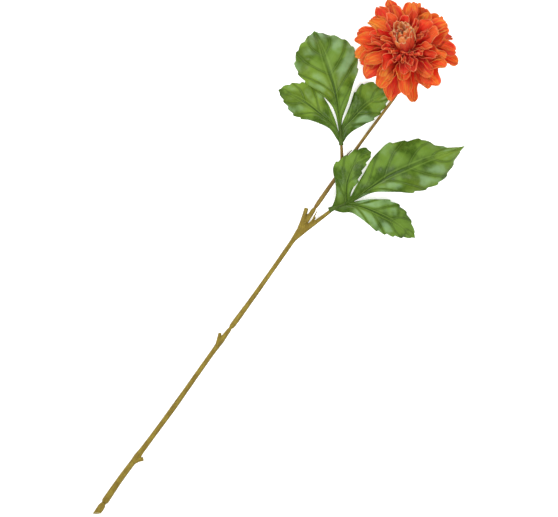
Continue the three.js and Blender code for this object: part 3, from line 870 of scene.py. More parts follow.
@dataclass(frozen=True)
class Studio:
    """The camera that looks straight down on the plant, its lights and its floor."""

    aim: Point = (-0.4, 375.3, 0.0)  # where the camera looks, in the plant's plan
    distance: float = 2511.0
    right: Point = (0.813, 0.582, 0.0)  # the picture's right and up, in the frame
    up: Point = (-0.582, 0.813, 0.0)
    lens: float = 135.0
    sensor: float = 36.0
    floor_size: float = 12.0
    floor_height: float = -0.0005

    def camera(self) -> None:
        """Makes the scene's camera."""
        place = in_frame(self.aim) * MM
        bpy.ops.object.camera_add(location=(place.x, place.y, self.distance * MM))
        camera = bpy.context.object
        turn = Matrix((self.right, self.up, (0, 0, 1))).transposed()
        camera.rotation_euler = turn.to_euler()
        camera.data.type = "PERSP"
        camera.data.lens = self.lens
        camera.data.sensor_width = self.sensor
        camera.data.clip_start = 0.05
        camera.data.clip_end = 20.0
        bpy.context.scene.camera = camera

    def lamp(self, name: str, place: Point, size: float, power: float, colour: Colour) -> None:
        """Adds a soft lamp that faces the plant.

        Args:
            name: the lamp's name.
            place: where it stands, in metres, as right, up and height in the picture.
            size: its width in metres.
            power: its power in watts.
            colour: its colour.
        """
        right, up = Vector(self.right), Vector(self.up)
        where = right * place[0] + up * place[1] + Vector((0, 0, place[2]))
        bpy.ops.object.light_add(type="AREA", location=where)
        light = bpy.context.object
        light.name = name
        light.data.shape = "DISK"
        light.data.size = size
        light.data.energy = power
        light.data.color = colour
        light.rotation_euler = where.to_track_quat("Z", "Y").to_euler()

    def lights(self) -> None:
        """Adds the lamps and the pale surroundings, and shows colours as they are, with no film curve."""
        self.lamp("key_lamp", (-0.9, 0.9, 1.5), 0.6, 23.0, (1.0, 0.99, 0.97))
        self.lamp("front_lamp", (0.25, -0.3, 2.2), 0.8, 30.0, (1.0, 1.0, 1.0))
        self.lamp("side_lamp", (1.3, -0.5, 1.2), 1.0, 6.0, (0.96, 0.98, 1.0))
        world = bpy.data.worlds.new("pale_room")
        world.use_nodes = True
        background = world.node_tree.nodes["Background"].inputs
        background["Color"].default_value = (0.95, 0.97, 1.0, 1.0)
        background["Strength"].default_value = 0.34
        bpy.context.scene.world = world
        bpy.context.scene.view_settings.view_transform = "Standard"

    def floor(self) -> None:
        """Adds the floor, a little under the plant. It has a fine paper grain and glows, to stay pale."""
        deselect()
        bpy.ops.mesh.primitive_grid_add(
            x_subdivisions=4,
            y_subdivisions=4,
            size=self.floor_size,
            location=(0, 0, self.floor_height),
        )
        floor = bpy.context.object
        floor.name = "floor"
        made, tree, dress = new_finish("pale_floor")
        grain = tree.noise(tree.place(), 900.0, 2)
        shade = tree.blend(tree.ranged(grain, 0.3, 0.7), (0.9, 0.9, 0.9), (0.93, 0.93, 0.93))
        dress(Base_Color=shade, Roughness=0.85, Normal=tree.bump(grain, 0.0001, 0.1))
        dress(Emission_Color=(1.0, 1.0, 1.0, 1.0), Emission_Strength=0.55)
        floor.data.materials.append(made)


# ---- Stem ----------------------------------------------------------------------------------------

STEM_LINE = Line(
    [
        (0, 0, 3.9), (-0.9, 30, 4.4), (-1.2, 55, 4.8), (0, 100, 5.4), (0.8, 154, 6.1),
        (0.4, 240, 7.2), (1.4, 312, 8.1), (0.6, 400, 9.3), (-0.8, 460, 10), (-1.5, 540, 11.1),
        (-0.6, 592, 11.7), (-0.4, 614, 12), (-2.3, 635.1, 12.1), (-5.8, 646.3, 13),
        (-9.4, 652.8, 14.8), (-12.5, 656.6, 17.5), (-14.8, 658.7, 20.7), (-16.5, 659.9, 24.5),
        (-18.1, 661.1, 29.1),
    ]
)  # fmt: skip
STEM_GIRTH = (
    (0, 4.1), (9, 4.3), (12.5, 3.7), (15, 2.2), (15.3, 3.0), (17, 4.2), (24, 4.2), (50, 3.8),
    (76, 3.5), (84, 4.1), (92, 3.5), (112, 3.2), (154, 3.3), (197, 3.05), (238, 2.95), (256, 3.5),
    (264, 3.0), (271, 2.7), (274, 1.7), (274.3, 2.2), (276, 3.2), (284, 3.4), (312, 3.0),
    (356, 2.8), (400, 2.8), (416, 3.9), (430, 3.4), (440, 2.8), (446, 2.9), (449, 2.0),
    (449.3, 1.6), (452, 2.5), (460, 2.75), (472, 2.6), (498, 2.3), (508, 2.8), (520, 2.2),
    (545, 1.95), (592, 1.85), (640, 1.85), (675, 2.0),
)  # fmt: skip
FOOT_JOINT, MIDDLE_JOINT, STALK_JOINT = 15.0, 274.0, 449.0  # where its lengths meet
GAP = 0.3  # the gap between two lengths
TRIM = 0.45  # what smoothing takes off the end of a length
CUT_SLANT = (0.716, 0.43)  # how far the cut runs up the stem for each millimetre across and up
CUT_REACH = 8.0  # how far up the stem the cut's slant fades out
CLEARANCE = 0.05  # how far a shoot stays over the surface


@dataclass(frozen=True)
class Shoot:
    """A round tapered shoot along a line: a side shoot, a leaf's stalk or a length of the stem."""

    line: Line
    girth: Girth  # radii at distances along the line
    start: float = 0.0
    end: float | None = None
    slant: Span = (0.0, 0.0)
    cut_start: bool = False
    cut_end: bool = False
    sides: int = 24
    step: float = 1.6
    ribbing: float = 0.025  # how far its ribs stand, as a share of its radius
    ribs: int = 5

    @property
    def finish(self) -> float:
        """Where the shoot ends along its line."""
        return self.line.length if self.end is None else self.end

    def axes(self, distance: float) -> tuple[Vector, Vector, Vector, Vector]:
        """The shoot's middle at a distance, its heading, and the two directions across it."""
        share = distance / self.line.length
        heading = self.line.heading(share)
        side = heading.cross(Vector((0, 0, 1))).normalized()
        return self.line.at(share), heading, side, side.cross(heading)

    def surface(self, turn: float, distance: float) -> Vector:
        """A point of the skin."""
        middle, heading, side, over = self.axes(distance)
        uneven = self.ribbing * math.sin(self.ribs * turn + 0.03 * distance)
        uneven *= math.sin(0.11 * distance + turn)
        radius = value_at(self.girth, distance) * (1 + uneven)
        dx, dz = radius * math.cos(turn), radius * math.sin(turn)
        fade = 1 - clamp((distance - self.start) / CUT_REACH)
        back = (self.slant[0] * dx + self.slant[1] * dz) * fade
        point = middle + side * dx + over * dz + heading * back
        point.z = max(point.z, CLEARANCE)
        return point

    def mesh(self, name: str) -> bpy.types.Object:
        """The shoot as a closed piece."""
        steps = max(4, round((self.finish - self.start) / self.step))
        return rolled(name, self.sides, spread(self.start, self.finish, steps), self.surface)


def simple_shoot(points: Sequence[Point], radii: tuple[float, float], **more: Any) -> Shoot:
    """A shoot whose radius changes evenly along its line."""
    line = Line(points)
    return Shoot(line, ((0.0, radii[0]), (line.length, radii[1])), **more)


@dataclass
class StemLength:
    """One length of the stem with the shoots that grow from it, fused into one skin."""

    name: str
    node: str
    dye: Dye
    slot: str
    shoots: Sequence[Shoot]
    voxel: float = 0.5
    sample: float = 0.8  # how closely its shoots are sampled for their grain

    def grain(self, piece: bpy.types.Object) -> None:
        """Writes on each point where it lies in the straightened shoot, and if it is on a cut face."""
        samples: list[tuple[Shoot, float]] = []
        for shoot in self.shoots:
            steps = int((shoot.finish - shoot.start) / self.sample) + 1
            samples += [(shoot, d) for d in spread(shoot.start, shoot.finish, steps)]
        tree = KDTree(len(samples))
        frames = [shoot.axes(d) for shoot, d in samples]
        for k, (middle, _, _, _) in enumerate(frames):
            tree.insert(middle, k)
        tree.balance()
        grain, cut = [], []
        for vertex in piece.data.vertices:
            point = vertex.co / MM
            _, k, _ = tree.find(point)
            (shoot, distance), (middle, heading, side, over) = samples[k], frames[k]
            off = point - middle
            x, y, z = off.dot(side), off.dot(over), off.dot(heading) + distance
            grain += (x, y, z)
            from_start = z - shoot.start - shoot.slant[0] * x - shoot.slant[1] * y
            near = [from_start] if shoot.cut_start else []
            near += [shoot.finish - z] if shoot.cut_end else []
            cut.append(1 - ease(0.25, 0.6, min(near)) if near else 0.0)
        carried(piece, "grain", grain)
        carried(piece, "cut", cut)

    def build(self) -> bpy.types.Object:
        """Models, fuses, smooths and dresses the length."""
        parts = [shoot.mesh(f"{self.name}_{k}") for k, shoot in enumerate(self.shoots)]
        piece = joined(self.name, parts)
        piece.data.remesh_voxel_size = self.voxel * MM
        take(piece)
        bpy.ops.object.voxel_remesh()
        modified(piece, "SMOOTH", factor=0.5, iterations=3)
        self.grain(piece)
        smooth(piece)
        put(piece, self.slot, [self.node], self.dye.made())
        return piece


def stem_lengths() -> list[StemLength]:
    """The four lengths of the stem, from the cut end up."""
    return [
        StemLength(
            "cut_foot",
            "stem_foot",
            Dye.STEM,
            "stem",
            [Shoot(STEM_LINE, STEM_GIRTH, 0.0, FOOT_JOINT + TRIM / 2, CUT_SLANT, cut_start=True)],
            0.3,
        ),
        StemLength(
            "lower_stem",
            "stem_lower",
            Dye.STEM,
            "stem",
            [
                Shoot(STEM_LINE, STEM_GIRTH, FOOT_JOINT + GAP - TRIM / 2, MIDDLE_JOINT + TRIM),
                simple_shoot(
                    [(0, 76, 5.1), (3.2, 81.5, 5.4), (7.4, 85.6, 5.8)],
                    (3.2, 2.3), cut_end=True,
                ),
                simple_shoot(
                    [(0.6, 247, 7.3), (-2.4, 254, 7.8), (-5.9, 262, 8.5)],
                    (2.9, 1.9), cut_end=True,
                ),
            ],
        ),
        StemLength(
            "middle_stem",
            "stem_middle",
            Dye.STEM,
            "stem",
            [
                Shoot(STEM_LINE, STEM_GIRTH, MIDDLE_JOINT + GAP - TRIM, STALK_JOINT + TRIM),
                simple_shoot(
                    [(0.2, 415, 9.5), (-4, 430, 10.3), (-8.8, 443.5, 11.2)],
                    (3.2, 2.5), cut_end=True,
                ),
                simple_shoot(
                    [(0.4, 405, 9.4), (5, 421, 11), (11.6, 441, 14.6), (18.4, 463.4, 19)],
                    (3.3, 2.0),
                ),
                simple_shoot(
                    [(1.2, 416, 10.4), (4.8, 431, 13.2), (6.4, 440.5, 14.8)],
                    (1.4, 1.0), sides=16,
                ),
                simple_shoot(
                    [(5.6, 436, 14), (4.4, 442, 15.4), (3.6, 447.5, 16.4)],
                    (1.0, 0.6), sides=16,
                ),
            ],
        ),
        StemLength(
            "bloom_stalk",
            "flower_stalk",
            Dye.STALK,
            "stalk",
            [
                Shoot(STEM_LINE, STEM_GIRTH, STALK_JOINT + GAP - TRIM, None, step=1.2),
                simple_shoot(
                    [(-1.4, 503, 10.6), (-7.4, 514, 11.2), (-15.2, 524.5, 12), (-23.6, 534.6, 13.2)],
                    (2.3, 1.6),
                ),
                simple_shoot(
                    [(-2, 507, 10.8), (-4.6, 517, 13), (-6.6, 524.5, 14.6)],
                    (1.2, 0.8), sides=16,
                ),
                simple_shoot(
                    [(-6.2, 523, 14.2), (-5.6, 527.5, 15.2), (-5, 531.5, 15.8)],
                    (0.8, 0.5), sides=16,
                ),
            ],
            0.4,
        ),
    ]


# ---- Leaves --------------------------------------------------------------------------------------


@dataclass
class Leaflet:
    """One toothed leaflet, between the lines of its rib and of its two edges."""

    teeth: int
    rib: Line
    left: Line
    right: Line
    teeth_from: float = 0.44
    teeth_to: float = 0.95
    depth: float = 2.5  # how far a tooth stands out
    back: float = 0.012  # how much of the length a tooth's far side takes
    roof: float = 0.14  # how far each half stands over the flat between rib and edge
    swell: float = 0.05  # how far it rises between its side veins
    slant: float = 0.22  # how far along a side vein runs on its way out
    pillow: float = 0.06  # how far the blade stands up between two side veins
    groove: float = 0.9  # how deep the rib lies
    groove_width: float = 1.6
    margin: float = 0.7  # how far the edge waves up and down
    thickness: float = 0.5
    half_columns: int = 9

    @property
    def step(self) -> float:
        """The share of the length that one tooth takes."""
        return (self.teeth_to - self.teeth_from) / self.teeth

    def rows(self) -> list[float]:
        """Where its rows of points stand: closely along the teeth, with one at each notch and point."""
        rows = spread(0.0, self.teeth_from, 16)
        for k in range(self.teeth):
            notch = self.teeth_from + self.step * k
            point = notch + self.step - self.back
            rows += [mix(notch, point, share) for share in (0.2, 0.4, 0.6, 0.8, 1.0)]
            rows += [mix(point, notch + self.step, 0.5), notch + self.step]
        return rows + spread(self.teeth_to, 1.0, 5)[1:]

    def tooth(self, u: float) -> float:
        """How far the edge stands out at u, from 0 in a notch to 1 at a tooth's point."""
        if not self.teeth_from < u < self.teeth_to:
            return 0.0
        share = ((u - self.teeth_from) % self.step) / self.step
        point = 1 - self.back / self.step
        return (share / point) ** 0.85 if share <= point else (1 - share) / (1 - point)

    def vein(self, u: float, a: float) -> float:
        """Which side vein a point lies by. Veins are at whole numbers, and each ends in a tooth."""
        return (u - self.slant * a**1.25 - self.teeth_from + self.slant + self.back) / self.step

    def point(self, across: float, u: float) -> Vector:
        """A point of the leaflet.

        Args:
            across: from -1 at the left edge through 0 on the rib to 1 at the right edge.
            u: from 0 at its root to 1 at its tip.

        Returns:
            The point, in millimetres.
        """
        a = abs(across)
        rib = self.rib.at(u)
        edge = (self.left if across < 0 else self.right).at(u)
        out = edge - rib
        width = out.length
        place = rib + out * (a + a**4 * self.depth * self.tooth(u) / max(width, 8.0))
        raised = width * (self.roof + self.swell * math.sin(2 * math.pi * self.teeth * u))
        place.z += raised * math.sin(math.pi * a**1.06)
        body = ease(0.04, 0.2, u) * (1 - ease(0.9, 1.0, u))
        vein = math.pi * self.vein(u, a)
        puffed = 0.6 * abs(math.sin(vein / 2)) ** 0.7 + 0.4 * abs(math.sin(vein)) ** 0.7 - 0.6
        place.z += body * self.pillow * width * puffed * math.sin(math.pi * clamp(a * 1.05) ** 0.8)
        place.z -= body * self.groove * math.exp(-((a * width / self.groove_width) ** 2))
        wave = math.sin(2 * math.pi * self.teeth * 1.55 * u + 2.0 * across)
        place.z += ease(0.86, 1.0, a) * body * self.margin * wave
        place.z = on_surface(place.z, self.thickness / 2)
        return place

    def mesh(self, name: str) -> bpy.types.Object:
        """The leaflet as a sheet, which carries where its veins are."""
        across, along = spread(-1.0, 1.0, 2 * self.half_columns), self.rows()
        piece = sheet(name, across, along, self.point)
        layer = piece.data.attributes.new("vein", "FLOAT_VECTOR", "POINT")
        for loop, corner in zip(piece.data.loops, piece.data.uv_layers[0].data):
            a, u = abs(2 * corner.uv.x - 1), corner.uv.y
            layer.data[loop.vertex_index].vector = (self.vein(u, a), a, u)
        return piece


@dataclass
class Leaf:
    """A leaf of three leaflets on a green sleeve, which the end of its stalk reaches into."""

    name: str
    node: str
    leaflets: Sequence[Leaflet]
    sleeve: Shoot

    def blades(self) -> None:
        """Models and dresses the leaflets."""
        parts = [leaflet.mesh(f"{self.name}_{k}") for k, leaflet in enumerate(self.leaflets)]
        piece = bladed(joined(f"{self.name}_blades", parts), self.leaflets[0].thickness)
        put(piece, "leaf", [self.node], Dye.LEAF.made(), Dye.LEAF_BACK.made())

    def stem_sleeve(self) -> None:
        """Models and dresses the sleeve."""
        StemLength(f"{self.name}_sleeve", self.node, Dye.SLEEVE, "leaf", [self.sleeve], 0.35).build()

    def build(self) -> None:
        """Builds the whole leaf."""
        self.blades()
        self.stem_sleeve()


def lower_leaf() -> Leaf:
    """The leaf on the right of the stem."""
    sleeve = simple_shoot(
        [(14.8, 457, 17.6), (18.4, 463.4, 19), (22.4, 469.5, 20.6), (25.6, 475, 22.4)],
        (3.4, 1.4),
    )
    leaflets = [
        Leaflet(
            teeth=4,
            rib=Line([
                (16.4, 461.2, 19), (26.2, 474, 22), (19.8, 485.4, 25), (13.6, 495.4, 28),
                (9.5, 507.1, 29), (7.3, 519.3, 29), (8.9, 531.5, 28), (15.3, 542, 26),
            ]),
            left=Line([
                (15, 460.2, 19), (13.9, 466.7, 21), (9.4, 478, 24), (0.1, 488.8, 25),
                (-9.4, 498.1, 25), (-10.2, 508.4, 26), (-4.9, 522.4, 26), (0.8, 534.8, 26),
                (7.8, 541.3, 26), (15.3, 542, 26),
            ]),
            right=Line([
                (17.9, 462.3, 19), (27.7, 478, 22), (23.4, 490.2, 25), (21.3, 503.9, 27),
                (18.4, 517.8, 28), (17, 530, 28), (16.6, 539.2, 27), (15.3, 542, 26),
            ]),
        ),  # fmt: skip
        Leaflet(
            teeth=6,
            rib=Line([
                (16.9, 461.6, 19), (27.3, 475.5, 23), (34.3, 492, 28), (41.1, 510.6, 32),
                (49.6, 531.1, 35), (61.1, 551.6, 35), (74.5, 574.3, 28), (89.3, 594.2, 15),
                (102.6, 615.2, -2.5),
            ]),
            left=Line([
                (16.2, 462.6, 19), (25.8, 479.6, 23), (23.8, 498.4, 27), (22.3, 517.6, 30),
                (20.2, 537.8, 32), (26, 560.2, 32), (39.7, 573.8, 30), (55.8, 588.5, 26),
                (75.9, 594.3, 17), (91.7, 604, 9), (102.6, 615.2, -2.5),
            ]),
            right=Line([
                (18.6, 461.3, 19), (29.6, 476.4, 22), (36.6, 490.9, 25), (44.7, 503.9, 27),
                (60.8, 516.1, 28), (78.2, 528.6, 26), (91.7, 542.9, 22), (102.6, 563.4, 15),
                (103.4, 582.6, 9), (101.1, 599.6, 5), (102.6, 615.2, -2.5),
            ]),
        ),  # fmt: skip
        Leaflet(
            teeth=5,
            rib=Line([
                (17.2, 461.1, 19), (27.4, 473.4, 22), (38.3, 480.4, 25), (51.3, 484.5, 27),
                (66.7, 487.5, 26), (84.3, 490.1, 20), (100.5, 490.8, 11), (118.4, 490.6, -2.5),
            ]),
            left=Line([
                (16.6, 462.1, 19), (28.8, 477.6, 22), (36.8, 486.6, 24), (47.3, 496.3, 25),
                (60.5, 504.7, 23), (75.1, 509.1, 19), (89.6, 507.9, 13), (102.1, 502.4, 7),
                (110.8, 496.8, 3.5), (118.4, 490.6, -2.5),
            ]),
            right=Line([
                (18.8, 460, 18.5), (28.9, 463.2, 19.5), (37.4, 469.6, 21), (51.2, 470.7, 22),
                (66.3, 470.1, 21), (81, 472.4, 17), (95.3, 477.6, 11), (107.3, 484, 5),
                (118.4, 490.6, -2.5),
            ]),
        ),  # fmt: skip
    ]
    return Leaf("lower_leaf", "leaf_lower", leaflets, sleeve)


def upper_leaf() -> Leaf:
    """The leaf on the left of the stem, which passes under the bloom."""
    sleeve = simple_shoot(
        [(-18.8, 528.5, 12.4), (-23.6, 534.6, 13.2), (-29, 541.4, 15), (-34, 547, 17.2)],
        (2.9, 1.3),
    )
    leaflets = [
        Leaflet(
            teeth=5,
            rib=Line([
                (-21.6, 531.1, 13), (-34, 541, 16), (-45.6, 542.8, 19), (-62.4, 543.7, 22),
                (-80.6, 544.6, 21), (-98.7, 543.4, 13), (-119.2, 539.1, -2.5),
            ]),
            left=Line([
                (-22.7, 529.6, 12), (-30, 532.4, 13), (-40.8, 536.3, 15), (-55.4, 534, 17),
                (-68.7, 530.1, 17), (-85.4, 525.8, 13), (-101.8, 531.4, 8), (-110.1, 534.7, 4),
                (-119.2, 539.1, -2.5),
            ]),
            right=Line([
                (-21.5, 531.9, 13), (-36.1, 544, 16), (-46.8, 551.6, 17), (-62.4, 560.1, 18),
                (-78.7, 564.5, 18), (-94.2, 563.6, 15), (-105.3, 556.8, 11), (-113.8, 548.1, 5),
                (-119.2, 539.1, -2.5),
            ]),
        ),  # fmt: skip
        Leaflet(
            teeth=6,
            rib=Line([
                (-22.5, 533.3, 14), (-34.8, 547.6, 18), (-52.6, 566.5, 25), (-66.9, 579.3, 28),
                (-77.9, 587.5, 28), (-92.1, 598.3, 24), (-107.7, 610.2, 14), (-125.2, 621.9, -2.5),
            ]),
            left=Line([
                (-24, 532.3, 13), (-38.5, 548, 18), (-52.7, 558.7, 22), (-70.3, 562.7, 24),
                (-87.1, 563.8, 24), (-107.1, 567.3, 21), (-119.8, 576.2, 18), (-126.7, 593.7, 14),
                (-126.2, 606.5, 8), (-125.2, 621.9, -2.5),
            ]),
            right=Line([
                (-21.3, 534.2, 13), (-35.4, 553.1, 18), (-41.3, 573.3, 23), (-48.2, 593.1, 24),
                (-54.3, 609.4, 22), (-65.3, 623.9, 19), (-80.1, 632.2, 14), (-98.1, 630.9, 9),
                (-112.9, 625, 4), (-125.2, 621.9, -2.5),
            ]),
        ),  # fmt: skip
        Leaflet(
            teeth=4,
            rib=Line([
                (-20.7, 531.8, 13), (-28.4, 546.6, 15.5), (-27, 559.9, 16.5), (-24.9, 575.5, 15),
                (-20.8, 590.4, 12.5), (-15.5, 601.8, 10), (-9.3, 613.9, 6.5),
            ]),
            left=Line([
                (-21.2, 531.5, 12), (-32.7, 549.4, 15), (-35.8, 564, 16), (-39.8, 580.9, 15.5),
                (-41.5, 594.6, 14), (-38.2, 604.5, 12), (-29.8, 611.4, 10), (-19.6, 613.7, 8),
                (-9.3, 613.9, 6.5),
            ]),
            right=Line([
                (-18.5, 531.9, 12), (-19.1, 540.9, 13), (-17.1, 550.4, 13), (-11.3, 562.8, 12),
                (-5.8, 577.8, 10.5), (-3.8, 592.6, 9), (-5.3, 604.1, 7.5), (-9.3, 613.9, 6.5),
            ]),
        ),  # fmt: skip
    ]
    return Leaf("upper_leaf", "leaf_upper", leaflets, sleeve)


# ---- Bloom ---------------------------------------------------------------------------------------


@dataclass(frozen=True)
class Whorl:
    """One ring of petals, in the bloom's own frame: millimetres and degrees."""

    number: int
    count: int
    where: float  # the azimuth of its first petal, with 90 on the side that the bloom leans to
    radius: float  # of its petals' roots
    height: float
    length: float
    width: float
    lift: Span  # a petal's slope over the whorl's plane at its root and tip
    cup: tuple[float, float, float]  # how far its cross-section bends at its root, middle and tip
    loose: float = 1.0  # how uneven its petals are
    tip: float = 0.12  # their tip's width as a share of their widest
    point: float = 0.72  # how pointed they end: 0.5 is round and 1.1 sharp
    hem: float = 1.0  # how much of the cup is in the margins: 0 bends the whole section evenly
    sweep: float = 0.0  # how far they turn aside, as a share of their length


@dataclass(frozen=True)
class Petal:
    """One petal of a whorl, with its own small departures from the rule."""

    radius: float
    height: float
    azimuth: float
    length: float
    width: float
    lift: Span
    cup: tuple[float, ...]
    uneven: float
    roll: float
    sweep: float
    tip: float
    point: float
    hem: float
    tint: float
    ruffle: float
    phase: float
    curl: float

    @staticmethod
    def of(whorl: Whorl, index: int) -> Petal:
        """The petal at this place of a whorl."""

        def drawn(trait: Trait) -> float:
            return whorl.loose * draw(whorl.number, index, trait)

        azimuth = math.radians(whorl.where + 360 / whorl.count * index + 7 * drawn(Trait.AZIMUTH))
        reach = 1 + 0.05 * math.sin(azimuth) - 0.03 * math.cos(2 * azimuth)
        tilt = 8 * drawn(Trait.LIFT) + whorl.loose * (3 if index % 2 else -3)
        return Petal(
            radius=whorl.radius,
            height=whorl.height,
            azimuth=azimuth,
            length=whorl.length * (1 + 0.07 * drawn(Trait.LENGTH)) * reach,
            width=whorl.width * (1 + 0.18 * drawn(Trait.WIDTH)),
            lift=(math.radians(whorl.lift[0] + tilt), math.radians(whorl.lift[1] + 1.4 * tilt)),
            cup=tuple(math.radians(angle * (1 + 0.2 * drawn(Trait.CUP))) for angle in whorl.cup),
            uneven=0.35 * drawn(Trait.UNEVEN),
            roll=math.radians(28 * drawn(Trait.ROLL)),
            sweep=whorl.sweep + 0.14 * drawn(Trait.SWEEP),
            tip=whorl.tip,
            point=whorl.point + 0.3 * drawn(Trait.POINT),
            hem=whorl.hem,
            tint=draw(whorl.number, index, Trait.TINT),
            ruffle=0.8 * whorl.loose * (0.6 + 0.4 * draw(whorl.number, index, Trait.RUFFLE)),
            phase=math.pi * draw(whorl.number, index, Trait.PHASE),
            curl=0.08 * drawn(Trait.CURL),
        )


@dataclass
class Bloom:
    """The double bloom: its calyx, its whorls of ray petals and the boss in its middle."""

    at: Point = (-20.3, 662.7, 35.5)
    lean: float = 23.0  # how many degrees it leans
    towards: float = 144.0  # the azimuth that it leans to
    thickness: float = 0.5
    # Each whorl: its number, count, first azimuth, radius, height, length, width, lift and cup, and then,
    # where they aren't the usual ones, how loose, blunt, pointed, hemmed and swept its petals are.
    rays: tuple[Whorl, ...] = (
        Whorl(0, 11, -98, 10, 1.6, 54, 28, (4, -20), (60, 56, 44), 0.85, point=0.74),
        Whorl(1, 11, -82, 10, 3.6, 51, 26, (15, -7), (66, 66, 50), point=0.7),
        Whorl(2, 11, -104, 10, 5.6, 45, 24, (27, 3), (76, 80, 62), point=0.68),
        Whorl(3, 10, -84, 9.8, 7.6, 37, 21, (37, 14), (98, 104, 84), 1.0, 0.25, 0.7, 0.6),
        Whorl(4, 10, -102, 9.4, 9.4, 28, 17, (42, 28), (116, 134, 124), 0.9, 0.62, 0.5, 0.2),
        Whorl(5, 9, -80, 9, 10.6, 19, 14, (42, 34), (128, 146, 138), 0.8, 0.74, 0.5, 0.1),
    )
    heart: tuple[Whorl, ...] = (
        Whorl(6, 7, -104, 7.4, 12, 24, 15, (56, 96), (54, 62, 60), 0.5, 0.14, 0.8, 0.3, 0.03),
        Whorl(7, 8, -82, 6, 13, 27, 14, (52, 112), (46, 52, 60), 0.6, 0.18, 0.8, 0.3, 0.08),
        Whorl(8, 11, -60, 4.8, 14, 28, 8, (56, 122), (70, 110, 130), 0.8, 0.3, 0.6, 0.2, 0.15),
        Whorl(9, 9, -40, 2.8, 15, 26, 6, (64, 114), (80, 120, 140), 1.0, 0.45, 0.5, 0.1, 0.25),
    )
    bracts: tuple[Whorl, ...] = (
        Whorl(20, 8, 10, 8.2, -2.2, 15, 9, (-2, -16), (34, 26, 16), 0.3, hem=0.0),
        Whorl(21, 5, 30, 6, -6.6, 13, 6.5, (-28, -74), (-20, -24, -14), 0.3, hem=0.0),
    )
    receptacle: Girth = ((0, 0), (9.4, 0), (13.4, 3), (13, 9), (9.6, 13.6), (0, 13.6))
    heart_core: Girth = ((0, 11.4), (4.8, 11.4), (6, 15), (5.6, 21), (3.6, 26), (0, 28))
    cup: Girth = (
        (0, -12),
        (2.9, -12),
        (4.2, -10),
        (6.6, -6),
        (9.2, -3.4),
        (10.2, -1),
        (9.6, -0.4),
        (0, -0.4),
    )
    claw: float = 0.2  # a petal's width at its root as a share of its widest
    widest: float = 0.64  # where along a petal it is widest
    nod: float = 0.36  # how far the boss leans on, for each millimetre over its root
    nod_from: float = 14.0  # the height that this lean starts at
    boss_radius: float = 8.0  # petals with their roots within this belong to the boss
    groove: float = 0.05  # how deep a petal's middle lies, as a share of its width
    ridge: float = 0.018  # how far its lengthwise ridges stand, as a share of its width
    ragged: float = 0.05  # how uneven its edges are, as a share of its width
    steps: int = 6  # how many steps its cross-section is walked in

    def __post_init__(self) -> None:
        """Works out which way the bloom faces."""
        lean, towards = math.radians(self.lean), math.radians(self.towards)
        sideways = math.sin(lean)
        self.facing = Vector((sideways * math.cos(towards), sideways * math.sin(towards), math.cos(lean)))
        self.rightward = Vector((math.sin(towards), -math.cos(towards), 0.0))
        self.upward = self.facing.cross(self.rightward)

    def place(self, x: float, y: float, h: float) -> Vector:
        """A point of the bloom's own frame in the plant's."""
        return in_frame(self.at) + self.rightward * x + self.upward * y + self.facing * h

    def share_of_width(self, petal: Petal, u: float) -> float:
        """A petal's width at u as a share of its widest."""
        if u < self.widest:
            return self.claw + (1 - self.claw) * math.sin(math.pi / 2 * u / self.widest) ** 1.3
        past = (u - self.widest) / (1 - self.widest)
        return mix(petal.tip, 1.0, max(1 - past**2.2, 0.0) ** petal.point)

    def notch(self, petal: Petal, v: float, u: float) -> float:
        """How far a petal's tip is drawn back between its points, in millimetres, as 0 or less."""
        deep = 0.006 + 0.014 * abs(petal.tint)
        return petal.length * u**8 * deep * (math.cos(7.5 * v + 2 * petal.phase) - 1)

    def raggedness(self, petal: Petal, v: float, u: float) -> float:
        """How much wider than the rule a petal is at u, on the side that v is on, as a share."""
        wave = math.sin(11 * u + 5 * petal.phase + (2.0 if v > 0 else 0))
        wave += 0.7 * math.sin(25 * u + 9 * petal.phase)
        return self.ragged * wave * ease(0.2, 0.5, u)

    def section(self, petal: Petal, v: float, u: float) -> tuple[float, float]:
        """How far a petal's cross-section has gone sideways and up at v, as shares of half its width."""
        root, middle, tip = petal.cup
        cup = mix(root, middle, 2 * u) if u < 0.5 else mix(middle, tip, 2 * u - 1)
        cup *= 1 + math.copysign(petal.uneven, v)
        wave = math.sin(2 * math.pi * 2.1 * u + petal.phase + (1.4 if v > 0 else 0))
        ripple = petal.ruffle * ease(0.15, 0.6, u) * wave
        sideways = rise = 0.0
        for step in range(self.steps):
            at = abs(v) * (step + 0.5) / self.steps
            angle = cup * mix(at, 1.35 * at * at, petal.hem) + 1.6 * ripple * at * at
            sideways += math.cos(angle) * v / self.steps
            rise += math.sin(angle) * abs(v) / self.steps
        return sideways, rise

